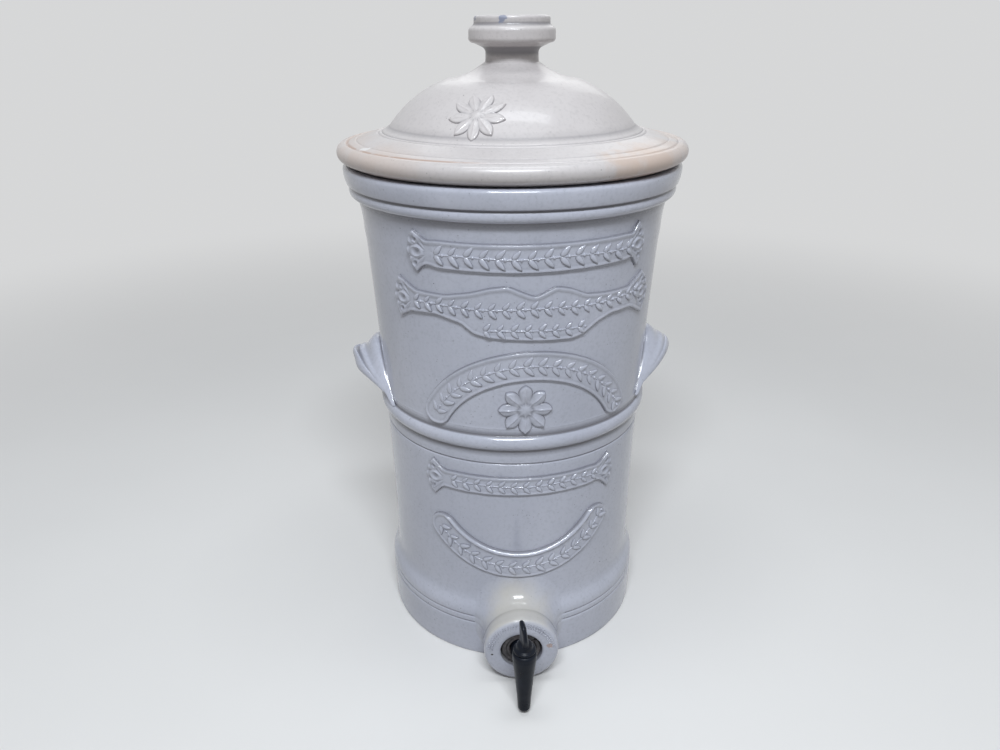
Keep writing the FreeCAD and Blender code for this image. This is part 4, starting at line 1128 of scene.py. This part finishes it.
sprayLines = {
    "spray_top": levelLine(-56, 74, 322.6, 0.5),
    "spray_middle": levelLine(-74, 86, 288.8, 0.5),
    "spray_belly": levelLine(-24, 38, 274.0, 0.3),
    "spray_lower": levelLine(-50, 55, 154.2, 0.4),
    "spray_arch": bentLine(bentBands["arch"], 0.0, 8.0),
    "spray_swag": bentLine(bentBands["swag"], 2.2, 7.5),
}
spraySizes = {
    "spray_belly": {"leaf": 7.4, "leafWidth": 3.3, "leafHeight": 1.5, "spacing": 8.4, "bead": 0.9},
    "spray_lower": {"leaf": 7.6, "leafWidth": 3.3, "leafHeight": 1.6, "spacing": 8.4, "bead": 0.9},
    "spray_middle": {"leaf": 7.8, "leafWidth": 3.3, "leafHeight": 1.5, "spacing": 9.0},
    "spray_swag": {"leafHeight": 1.7},
}
for name, (across, height) in sprayLines.items():
    places = onWall(across, height, np.full(len(across), sprayForm["seat"]))
    sprayAlong(name, places, spraySizes.get(name, {}))


print("handles")

handleForm = {
    "height": 220.0, "stagger": 4.5, "halfLength": 46.0, "droop": 25.5, "outward": 3.0,
    "thick": 16.4, "tail": 3.3, "tip": 1.5, "slim": 0.84, "folded": 0.74,
    # two sections, out from the wall and up, in shares of the thickness
    "middle": ((0.0, 0.94), (0.20, 0.88), (0.38, 0.66), (0.50, 0.40), (0.60, 0.30), (0.76, 0.33),
               (0.87, 0.29), (0.93, 0.12), (1.00, 0.12), (1.08, 0.26), (1.19, 0.18), (1.27, -0.06),
               (1.23, -0.34), (1.02, -0.60), (0.66, -0.76), (0.0, -0.88), (-0.5, -0.70),
               (-0.62, 0.0), (-0.5, 0.70)),
    "plain": ((0.0, 0.86), (0.20, 0.79), (0.38, 0.71), (0.52, 0.63), (0.66, 0.53), (0.79, 0.43),
              (0.88, 0.35), (0.94, 0.29), (1.00, 0.22), (1.06, 0.14), (1.11, 0.04), (1.14, -0.10),
              (1.08, -0.30), (0.92, -0.52), (0.62, -0.72), (0.0, -0.86), (-0.5, -0.70),
              (-0.62, 0.0), (-0.5, 0.70)),
    "inset": 3.0, "stations": 89, "pinch": 0.045, "creaseOut": 0.96, "hollowAt": (0.57, 0.33),
    "hollow": 0.25, "shade": 1.3, "creaseHalf": 0.05, "hollowHalf": 0.12,
    "slimPower": 1.9, "foldPower": 2.5, "tipRound": 0.032, "pinchUp": 4, "pinchAlong": 9,
    "each": 5, "soften": 7,
}


def closedSmooth(points, each, soften):
    # each steps between every two corners, so that two sections match point for point
    points = np.array([*points, points[0]], float)
    places = np.linspace(0, len(points) - 1, each * (len(points) - 1), endpoint=False)
    line = np.stack([np.interp(places, np.arange(len(points)), points[:, k]) for k in (0, 1)], 1)
    for _ in range(soften):
        line = (np.roll(line, 1, 0) + 2 * line + np.roll(line, -1, 0)) / 4
    return line


def makeHandle(name, side, height, folds, phase):
    form = handleForm
    middle, plain = (closedSmooth(form[word], form["each"], form["soften"]) for word in ("middle", "plain"))
    wall = float(outside(height))
    rings, poolShades = [], []
    ends = np.array([1.0, 1.02, 1.03])
    stations = np.concatenate([-ends[::-1], np.linspace(-0.97, 0.97, form["stations"]), ends])
    for way in stations:
        fall = min(way * way, 1)
        slim = min(1, (abs(way) / form["slim"]) ** form["slimPower"])
        size = form["thick"] - (form["thick"] - form["tail"]) * slim
        size -= (form["tail"] - form["tip"]) * max(0, abs(way) - form["slim"]) / (1 - form["slim"])
        if abs(way) > 1:
            size = form["tip"] * math.sqrt(max(0.05, 1 - ((abs(way) - 1) / form["tipRound"]) ** 2))
        folded = folds * max(0, 1 - (abs(way) / form["folded"]) ** form["foldPower"])
        section = plain + (middle - plain) * folded
        along = form["halfLength"] * way
        lift = height - form["droop"] * fall
        ripple = np.sin(section[:, 1] * form["pinchUp"] + way * form["pinchAlong"] + phase)
        pinch = form["pinch"] * folded * ripple
        out = section[:, 0] * size * (1 + pinch)
        up = section[:, 1] * size * (1 + pinch)
        radius = math.sqrt(wall * wall - along * along) + out + form["outward"] * (1 - slim)
        place = np.stack([-radius, np.full(len(out), along), lift + up], 1)
        reach = np.hypot(place[:, 0], place[:, 1])
        deepest = outside(place[:, 2]) - form["inset"]
        place[:, :2] *= (np.maximum(reach, deepest) / reach)[:, None]
        rings.append(place)
        # painted shade near the wall, and in the fold's crease and hollow
        gap = np.hypot(place[:, 0], place[:, 1]) - outside(place[:, 2])
        crease = np.exp(-((middle[:, 0] - form["creaseOut"]) / form["creaseHalf"]) ** 2)
        crease = crease * (middle[:, 1] > 0)
        apart = np.hypot(*(middle - form["hollowAt"]).T)
        dent = form["hollow"] * np.exp(-(apart / form["hollowHalf"]) ** 2)
        poolShades.append(np.clip(1 - gap / form["shade"], 0, 1) + (crease + dent) * folded)
    rings = np.array(rings) * (-side, -side, 1)
    onCrock(ringSkin(name, rings, np.clip(np.array(poolShades), 0, 1)), name)


makeHandle("handle_left", -1, handleForm["height"], 1.0, 0.4)
makeHandle("handle_right", 1, handleForm["height"] + handleForm["stagger"], 0.45, 2.1)


print("boss")

bossForm = {
    "height": 29.0, "face": 129.0, "bore": 15.5, "mouthRound": 0.9, "edge": 27.8,
    "straight": 114.2, "neck": 27.2, "flare": 35.5, "crown": 15.0, "low": 28.4, "root": 84.0,
    "turns": 176, "rings": 30, "wave": 0.18, "waves": 3, "ripple": 0.25, "ripples": 5,
    "crownPower": 1.5, "nearShare": 0.05, "farShare": 0.45, "fall": 0.62, "proud": 0.3, "sunk": 0.35,
    # the softened face: radius and how far it lies behind the face
    "lip": ((18.0, -0.15), (20.0, -0.1), (20.8, 0), (21.6, 0.1), (23.5, 0.35), (25.2, 0.6), (26.6, 1.1),
            (27.4, 1.9)),
    "backs": ((24.0, 94.0), (20.0, 87.0)),       # rings hidden in the wall
    "wallBore": ((0, 72), (15.2, 72), (15.4, 126), (0, 126)),
}


def bossRings():
    form = bossForm
    angle = np.linspace(0, math.tau, form["turns"], endpoint=False)
    face, bore, edge, mouth = form["face"], form["bore"], form["edge"], form["mouthRound"]
    flat = [(bore - 0.2, form["root"]), (bore - 0.1, 105.0), (bore, 120.0), (bore, face - mouth - 0.6),
            (bore + 0.1, face - mouth), (bore + 0.4, face - 0.3), (bore + mouth, face)]
    flat += [(radius, face - behind) for radius, behind in form["lip"]]
    flat += [(edge, face - 3.0), (edge, 123.0), (edge, 119.0), (edge - 0.1, form["straight"] + 1.4),
             (form["neck"] + 0.15, form["straight"] + 0.6), (form["neck"], form["straight"])]
    rings = []
    for radius, reach in flat:
        wave = form["wave"] * np.sin(form["waves"] * angle + 0.8) * (radius > 20)
        rings.append(standingRing(radius, angle, reach + wave, form["height"]))
    low = np.where(np.sin(angle) < 0, form["low"] / np.maximum(-np.sin(angle), 0.01), 99.0)
    crown = form["crown"] * np.clip(np.sin(angle), 0, 1) ** form["crownPower"]
    last = np.minimum(form["flare"] + crown, low)

    def wallDepth(radius):
        across, up = radius * np.cos(angle), form["height"] + radius * np.sin(angle)
        return np.sqrt(outside(np.maximum(up, 0.6)) ** 2 - across ** 2)
    # a curve from the neck into the wall
    first = form["neck"]
    second, third = (first + form[share] * (last - first) for share in ("nearShare", "farShare"))
    depths = (form["straight"], form["straight"] - form["fall"] * (form["straight"] - wallDepth(first)),
              wallDepth(third) + form["proud"], wallDepth(last) - form["sunk"])
    for share in np.linspace(0, 1, form["rings"])[1:]:
        weights = ((1 - share) ** 3, 3 * share * (1 - share) ** 2, 3 * share ** 2 * (1 - share), share ** 3)
        radius = sum(w * r for w, r in zip(weights, (first, second, third, last)))
        depth = sum(w * d for w, d in zip(weights, depths))
        least = wallDepth(radius) - form["sunk"] * share ** 6 + form["proud"] * (1 - share)
        ripple = form["ripple"] * np.sin(form["ripples"] * angle + 4 * share)
        depth = np.maximum(depth, least) + ripple * share * (1 - share) * 2
        rings.append(standingRing(radius, angle, depth, form["height"]))
    rings += [standingRing(radius, angle, reach, form["height"]) for radius, reach in form["backs"]]
    return np.array(rings)


bossPlaces = bossRings()
bossPoolShade = np.zeros(bossPlaces.shape[:2])
bossPoolShade[:4] = 0.6         # painted shade in the bore
bossPoolShade[18:20] = 0.4      # painted shade at the back edge of the face's rim
onCrock(ringSkin("tap_boss", bossPlaces, bossPoolShade, hollow=True), "tap_boss")
boreTool = turn("boreTool", crockGlaze, bossForm["wallBore"], 0.02, 20, 96)
combine(crock, layForward(boreTool, bossForm["height"]))
settle(crock, "crock_body", "stoneware", "crock")

# Fine strokes round the upper half of the boss's face
strokeForm = {
    "leaf": 2.6, "leafWidth": 0.9, "leafHeight": 0.62, "spacing": 2.1, "splay": 68.0,
    "second": math.radians(-112), "bead": 0.12, "stem": 0.05,
}
strokeRadius = 23.4
strokeAngles = {"strokes_left": (100, 172), "strokes_right": (8, 80)}
for name, (low, high) in strokeAngles.items():
    angle = np.radians(np.linspace(low, high, 60))
    places = standingRing(strokeRadius, angle, bossForm["face"] - 0.2, bossForm["height"])
    sprayAlong(name, places, strokeForm)


print("bung and tap")

bungForm = {
    "face": 126.2, "tail": 84.0, "outer": 14.9, "inner": 13.9, "shank": 8.0, "shankTail": 7.1,
    "slit": 38.0, "slitWidth": 0.75, "slitDepth": 2.6,
    "edge": 1.6, "lip": 1.5, "lipRound": 1.8,
    "folds": ((11.6, 0.2), (10.6, -0.9), (9.2, -0.5)),      # radius and height on the face
}


def makeBung():
    form = bungForm
    bung = turn("tap_bung", bungRubber, [
        (form["shankTail"], form["tail"] + 1), (form["shankTail"], form["tail"]),
        (form["inner"], form["tail"]), (form["outer"], form["face"] - form["edge"]),
        (form["outer"] - form["lip"], form["face"], form["lipRound"]),
        *((radius, form["face"] + rise) for radius, rise in form["folds"]),
        (form["shank"] + 0.1, form["face"] - form["edge"]),
        (form["shankTail"], form["tail"] + 1)], soften=0.3, spacing=1.6, turns=180)
    layForward(bung, bossForm["height"])
    places = placesOf(bung)
    angle = math.radians(form["slit"])
    across, up = places[:, 0], places[:, 2] - bossForm["height"]
    along = across * math.cos(angle) + up * math.sin(angle)
    side = -across * math.sin(angle) + up * math.cos(angle)
    front = np.clip((-places[:, 1] - form["face"] + 4) / 3, 0, 1) * (along > 0)
    places[:, 1] += form["slitDepth"] * np.exp(-(side / form["slitWidth"]) ** 2) * front
    putPlaces(bung, places)
    return settle(bung, "crock_body", "rubber", "tap_bung")


makeBung()

tapForm = {
    "reach": 158.0, "height": 29.0, "waterway": 2.5,
    "barrel": ((0, 4.5), (4.5, 4.5), (5.1, 15), (7.1, 38), (8.58, 51.5), (8.58, 55.2), (6.9, 57.0, 1.8),
               (0, 57.0)),
    "shank": ((0, 80.0), (6.75, 80.0), (7.95, 129.0), (6.4, 137.0), (4.4, 157.0), (0, 158.0)),
    "plugTop": 5.4, "plugFoot": 4.0, "plugFootHeight": 16.0,
    "barrelTop": 57.0, "boreTop": 61, "boreFlare": 0.35, "waterFrom": 76, "voxel": 0.42, "smoothing": 5,
}


def makeTapBody():
    form = tapForm
    barrel = shift(turn("barrel", slateEbonite, form["barrel"], 0.4, 1.2, 96), forward=form["reach"])
    shank = layForward(turn("shank", slateEbonite, form["shank"], 0.4, 1.5, 80), form["height"])
    body = melt("tap_body", [barrel, shank], form["voxel"], form["smoothing"])
    plug = turn("plugBore", slateEbonite, [
        (0, 0), (form["waterway"], 0), (form["waterway"], form["plugFootHeight"]),
        (form["plugFoot"], form["plugFootHeight"]),
        (form["plugTop"] + form["boreFlare"], form["boreTop"]), (0, form["boreTop"])], 0.02, 5, 96)
    combine(body, shift(plug, forward=form["reach"]))
    water = drill(form["waterway"], form["waterFrom"], form["reach"] - 1, slateEbonite)
    combine(body, layForward(water, form["height"]))
    return settle(body, "crock_body", "ebonite", "tap_body", material=slateEbonite)


makeTapBody()

keyForm = {
    "turn": 8.0, "foot": 16.2, "top": 57.2, "edge": 57.8, "chamfer": 0.5, "clearance": 0.12,
    "dropFrom": 10, "portFrom": -9,
    "collar": ((0, 56.0), (5.0, 56.0), (5.4, 57.4), (7.6, 57.4), (7.9, 58.5), (7.0, 59.8, 1.0),
               (5.9, 60.7), (5.5, 63.3), (0, 66.6, 5.8)),
    "bladeFoot": 59.5, "bladeTop": 82.1, "bladeCrown": 3.1,
    "footHalf": 4.4, "wideHalf": 7.8, "wideAt": 71.0, "crownPower": 2.6,
    "footThick": 3.1, "topThick": 1.95, "thinning": 1.35, "roundFrom": 0.86, "square": 0.75,
    "lean": 1.7, "leanPower": 1.6, "voxel": 0.36, "smoothing": 4,
}


def bladeRings():
    form = keyForm
    angle = np.linspace(0, math.tau, 56, endpoint=False)
    low = np.linspace(form["bladeFoot"], form["bladeTop"] - form["bladeCrown"], 26)
    high = form["bladeTop"] - form["bladeCrown"] * (1 - np.sin(np.linspace(0.1, 1.55, 9)))
    rings = []
    for height in np.concatenate([low, high]):
        rise = (height - form["bladeFoot"]) / (form["bladeTop"] - form["bladeFoot"])
        wide = np.interp(height, (form["bladeFoot"], form["wideAt"]), (form["footHalf"], form["wideHalf"]))
        crown = max(0, height - form["wideAt"]) / (form["bladeTop"] - form["wideAt"])
        wide = max(0.5, wide * math.sqrt(max(0.0, 1 - crown ** form["crownPower"])))
        thin = min(1, rise * form["thinning"])
        thick = form["footThick"] + (form["topThick"] - form["footThick"]) * thin
        over = max(0, (rise - form["roundFrom"]) / (1 - form["roundFrom"]))
        thick *= math.sqrt(max(0.12, 1 - over ** 2))
        across = thick * np.sign(np.cos(angle)) * np.abs(np.cos(angle)) ** form["square"]
        along = wide * np.sign(np.sin(angle)) * np.abs(np.sin(angle)) ** form["square"]
        lean = -form["lean"] * rise ** form["leanPower"]
        rings.append(np.stack([across + lean, along, 0 * angle + height], 1))
    return np.array(rings)


def makeKey():
    form, tap = keyForm, tapForm
    collar = turn("collar", slateEbonite, form["collar"], 0.3, 0.9, 96)
    key = melt("tap_key", [collar, ringSkin("blade", bladeRings())], form["voxel"], form["smoothing"])
    slope = (tap["plugTop"] - tap["plugFoot"]) / (tap["barrelTop"] - tap["plugFootHeight"])
    plugTop = tap["plugTop"] + slope * (form["top"] - tap["barrelTop"]) - form["clearance"]
    plug = turn("plug", slateEbonite, [
        (0, form["foot"]), (tap["plugFoot"] - form["clearance"], form["foot"]), (plugTop, form["top"]),
        (plugTop - form["chamfer"], form["edge"]), (0, form["edge"])], 0.05, 4, 96)
    combine(key, plug, "UNION")
    combine(key, drill(tap["waterway"], form["dropFrom"], tap["height"], slateEbonite))
    port = drill(tap["waterway"], form["portFrom"], 0, slateEbonite)
    combine(key, layForward(port, tap["height"]))
    key.data.transform(Matrix.Rotation(math.radians(form["turn"]), 4, "Z"))
    shift(key, forward=tap["reach"])
    return settle(key, "key_body", "ebonite", "tap_key", material=slateEbonite)


makeKey()


print("lid")

lidForm = {
    "outside": ((119.0, 369.3), (116.6, 380.8, 5.9), (116.1, 380.9), (115.4, 380.0), (114.7, 381.1),
                (109.7, 382.3), (109.1, 381.8), (108.5, 382.6), (94.4, 386.9), (93.7, 386.1),
                (93.0, 387.2), (91.7, 387.5), (91.1, 386.9), (90.5, 388.0), (86.0, 390.6),
                (45.5, 420.4, 82.0), (18.6, 431.3, -52.0)),
    "inside": ((0, 414), (18.6, 414), (46, 409.2), (81.5, 379.7, -92), (90, 369.3), (90, 355.1),
               (97.4, 355.1), (98.6, 356.3, 1.2), (98.6, 367.3), (114.3, 367.3)),
    "wobble": 0.25, "hidden": 0.6,
    "knobSeat": 431.0,                 # the dome's top, under the knob
    "knob": ((0, -1.0), (18.9, -1.0), (18.3, 1.0), (18.1, 6.2), (21.0, 9.8, -4), (26.2, 12.2),
             (29.6, 15.6, 3.0), (29.5, 19.0), (28.4, 21.8, 3.0), (26.4, 23.2), (25.8, 24.2), (25.9, 27.2),
             (24.2, 29, 2), (14.0, 28.4), (0, 28.2)),
    "flowerAcross": -25.6, "flowerForward": 70.6,
}


def insideOfLid(line):
    top = int(np.argmax(line[:, 0]))
    marks = np.zeros(len(line))
    marks[:max(0, top - 4)] = lidForm["hidden"]
    return marks


turned("lid", "lid_body", "lid_stoneware", lidGlaze,
       [*lidForm["inside"], *lidForm["outside"], (0, lidForm["knobSeat"])], 0.45, 3.6, 224,
       lidForm["wobble"], 5.0, insideOfLid)
turned("lid_knob", "lid_body", "lid_stoneware", lidGlaze,
       [(r, lidForm["knobSeat"] + z, *bend) for r, z, *bend in lidForm["knob"]], 0.4, 1.8, 144, 0.15, 8.0)
lidLine, _ = softProfile(lidForm["outside"], 0.45, 0.8)
lidWay = np.concatenate([[0], np.cumsum(np.linalg.norm(np.diff(lidLine, axis=0), axis=1))])


def onLid(across, up, off):
    centre = math.hypot(lidForm["flowerAcross"], lidForm["flowerForward"])
    start = np.interp(-centre, -lidLine[:, 0], lidWay)
    way = start + up
    radius, height = np.interp(way, lidWay, lidLine[:, 0]), np.interp(way, lidWay, lidLine[:, 1])
    run = np.interp(way + 0.5, lidWay, lidLine[:, 0]) - radius
    climb = np.interp(way + 0.5, lidWay, lidLine[:, 1]) - height
    steep = np.hypot(run, climb)
    angle = math.atan2(lidForm["flowerAcross"], lidForm["flowerForward"]) + across / radius
    radius, height = radius + off * climb / steep, height - off * run / steep
    return np.stack([radius * np.sin(angle), -radius * np.cos(angle), height], -1)


settle(bloom("lid_flower", flowerForm, onLid), "lid_body", "lid_stoneware", "lid_flower",
       material=lidGlaze)


print("filter unit")


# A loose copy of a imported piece's own shape, its corners joined
def carried(name, body, slot, material):
    obj = linked(name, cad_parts[name].data.copy())
    join = obj.modifiers.new("join", "WELD")
    join.merge_threshold = 0.00002
    applied(obj)
    settle(obj, body, slot, name, material=material)
    obj.data.set_sharp_from_angle(angle=math.radians(28))
    return obj


# The profile of a flat ring, from a height inside it
def flatRing(inner, outer, low, high, start):
    return [(inner, start), (inner, low), (outer, low), (outer, high), (inner, high), (inner, start)]


unit = {
    "gasket": flatRing(81.3, 89.4, 176.1, 178.45, 177.0),
    "upperWasher": flatRing(7.95, 18.9, 190.85, 192.75, 191.8),
    "lowerWasher": flatRing(7.95, 18.9, 176.85, 178.75, 177.8),
    "ventWasher": flatRing(4.75, 8.4, 190.85, 192.25, 191.5),
    "cup": ((7.7, 196), (7.7, 192.9), (49.0, 192.9), (50.9, 194.8, 1.9), (50.9, 211.2), (50.0, 212.6, 1.0),
            (47.2, 212.6), (46.3, 211.6, 0.9), (46.3, 200.75), (7.7, 200.75), (7.7, 196)),
    "block": ((6.1, 212), (6.1, 204.3), (14.4, 204.3), (14.4, 200.9), (45.4, 200.9), (45.6, 210),
              (45.6, 264.8), (38.0, 281.5, 34.0), (17.0, 291.4, 48.0), (0, 292.6, 60.0), (0, 262.0),
              (6.1, 262.0), (6.1, 212)),
    "vent": ((2.4, 200), (2.4, 171.2), (4.1, 171.0), (4.45, 171.5), (4.45, 192.4), (8.0, 192.4),
             (8.4, 192.8), (8.4, 194.7), (8.0, 195.2), (4.45, 195.4), (4.45, 296.2), (4.0, 296.7),
             (2.7, 296.7), (2.4, 296.3), (2.4, 200)),
    "ventBack": 70.0,
}
turned("plate_gasket", "crock_body", "rubber", bungRubber, unit["gasket"], 0.25, 1.2, 120)
turned("stem_washer_upper", "filter_unit", "rubber", bungRubber, unit["upperWasher"], 0.25, 1.2, 120)
turned("stem_washer_lower", "filter_unit", "rubber", bungRubber, unit["lowerWasher"], 0.25, 1.2, 120)
turned("block_cup", "filter_unit", "stoneware", lidGlaze, unit["cup"], 0.35, 2.2, 160, 0.1, 3.0)
turned("charcoal_block", "filter_unit", "charcoal", charcoal, unit["block"], 0.6, 2.4, 180, 0.35, 9.0)

stemForm = {
    "radius": 7.45, "foot": 134.8, "bore": 2.6, "top": 215.6,
    "threadTop": 166.0, "threadPitch": 2.0, "threadDepth": 0.55, "threadStep": 0.28,
    "plain": (167.0, 176.0, 190.0, 200.7),       # heights of the rings above the thread
    "collar": ((13.4, 200.8), (13.9, 201.2), (13.9, 203.2), (13.4, 203.7), (6.0, 203.8), (5.5, 204.3),
               (5.5, 215.2), (5.1, 215.6)),
}


def makeStem():
    form = stemForm
    angle = np.linspace(0, math.tau, 56, endpoint=False)
    rings = [lyingRing(form["bore"], angle, height) for height in (form["top"], form["foot"])]
    threaded = np.arange(form["foot"], form["threadTop"], form["threadStep"])
    for height in np.concatenate([threaded, form["plain"]]):
        wave = np.abs(((height / form["threadPitch"] - angle / math.tau) % 1) * 2 - 1)
        fade = np.clip((form["threadTop"] - height) / 2.0, 0, 1)
        fade = fade * np.clip((height - form["foot"]) / 1.0, 0.3, 1)
        radius = form["radius"] - form["threadDepth"] * np.clip(wave * 1.5 - 0.25, 0, 1) * fade
        radius = radius - 0.5 * (height < form["foot"] + 0.2)
        rings.append(lyingRing(radius, angle, height))
    rings += [lyingRing(radius, angle, height) for radius, height in form["collar"]]
    return ringSkin("filter_stem", np.array(rings), hollow=True)


settle(makeStem(), "filter_unit", "ebonite", "filter_stem", material=slateEbonite)
turned("air_vent_tube", "filter_unit", "ebonite", slateEbonite, unit["vent"], 0.25, 2.2, 64,
       forward=-unit["ventBack"])
turned("air_vent_washer", "filter_unit", "rubber", bungRubber, unit["ventWasher"], 0.2, 1.0, 72,
       forward=-unit["ventBack"])
carried("partition_plate", "filter_unit", "stoneware", lidGlaze)
carried("stem_wing_nut", "filter_unit", "ebonite", slateEbonite)


print("camera, floor and light")

view = {
    "axisColumn": 512, "focal": 780.0, "frameWidth": 1000, "sensor": 36.0,
    "distance": 575.0, "height": 452.0, "down": 23.96, "round": 3.15,
}


def makeCamera():
    turnRound = math.radians(view["round"])
    aside = math.atan((view["axisColumn"] - view["frameWidth"] / 2) / view["focal"])
    lens = bpy.data.cameras.new("camera")
    lens.sensor_width = view["sensor"]
    lens.lens = view["focal"] * view["sensor"] / view["frameWidth"]
    lens.clip_start = 0.01
    camera = linked("camera", lens)
    away = view["distance"] * mm
    place = Matrix.Translation((-away * math.sin(turnRound), -away * math.cos(turnRound),
                                view["height"] * mm))
    heading = Matrix.Rotation(-turnRound, 4, "Z") @ Matrix.Rotation(math.radians(90 - view["down"]), 4, "X")
    camera.matrix_world = place @ heading @ Matrix.Rotation(aside, 4, "Y")
    bpy.context.scene.camera = camera


room = {
    "floor": (0.76, 0.75, 0.735),
    "bounce": (0.48, 0.46, 0.44),      # how the floor lights what stands on it
    "background": (0.675, 0.68, 0.685),
    "sky": (0.94, 0.96, 1.0), "world": 0.17,
    "near": 0.45, "far": 1.5,          # where the floor turns into the background, in metres
    "reach": 9000,
}


def makeFloor():
    s = Surface("floorPaint")
    soft = s.noise(3.0, 3.0, 0.5)
    colour = s.blend(soft.rises(0.3, 0.7), room["floor"], tuple(c * 1.03 for c in room["floor"]))
    colour = s.blend(s.seen(), room["bounce"], colour)
    normal = s.bump(s.noise(600.0, 2.0), 0.00005, 0.2)
    paper = s.add("ShaderNodeEmission", inputs={"Color": room["background"]})
    away = s.seen() * s.radius().rises(room["near"], room["far"])
    reach = room["reach"]
    corners = [(-reach, -reach, 0), (reach, -reach, 0), (reach, reach, 0), (-reach, reach, 0)]
    floor = meshObject("floor", corners, [(0, 1, 2, 3)])
    floor.data.materials.append(s.finish(colour, 0.75 + soft * 0.1, normal, (away, paper)))


def makeWorld():
    world = bpy.data.worlds.new("studio")
    bpy.context.scene.world = world
    world.use_nodes = True
    s = Shader(world.node_tree)
    plain = s.add("ShaderNodeBackground", inputs={0: room["sky"], 1: room["world"]})
    paper = s.add("ShaderNodeBackground", inputs={0: room["background"]})
    mix = s.add("ShaderNodeMixShader", inputs={0: s.seen(), 1: plain, 2: paper})
    s.node("ShaderNodeOutputWorld", inputs={0: mix})


# Place and target in metres, width and depth, power, colour
lamps = {
    "key": ((-0.05, -1.25, 1.75), (0, 0, 0.25), (0.9, 0.25), 33, (0.90, 0.95, 1.0)),
    "overhead": ((0.0, -0.1, 1.9), (0, 0, 0.3), (1.2, 0.3), 8, (0.92, 0.96, 1.0)),
    "left": ((-1.6, -0.5, 0.7), (0, 0, 0.2), (0.9, 1.2), 0.5, (1.0, 0.85, 0.7)),
    "right": ((1.6, -0.3, 0.7), (0, 0, 0.2), (0.9, 1.2), 0.4, (1.0, 0.85, 0.7)),
    "behind": ((0.2, 1.6, 1.2), (0, 0, 0.25), (1.2, 0.8), 2.6, (1, 1, 1)),
}


def makeLamps():
    for name, (place, target, (width, depth), power, colour) in lamps.items():
        lamp = bpy.data.lights.new(name, "AREA")
        lamp.shape = "RECTANGLE"
        lamp.size = width
        lamp.size_y = depth
        lamp.energy = power
        lamp.color = colour
        obj = linked(name, lamp)
        obj.location = place
        obj.rotation_euler = (Vector(target) - Vector(place)).to_track_quat("-Z", "Y").to_euler()


makeCamera()
makeFloor()
makeWorld()
makeLamps()
bpy.context.scene.view_settings.view_transform = "Standard"
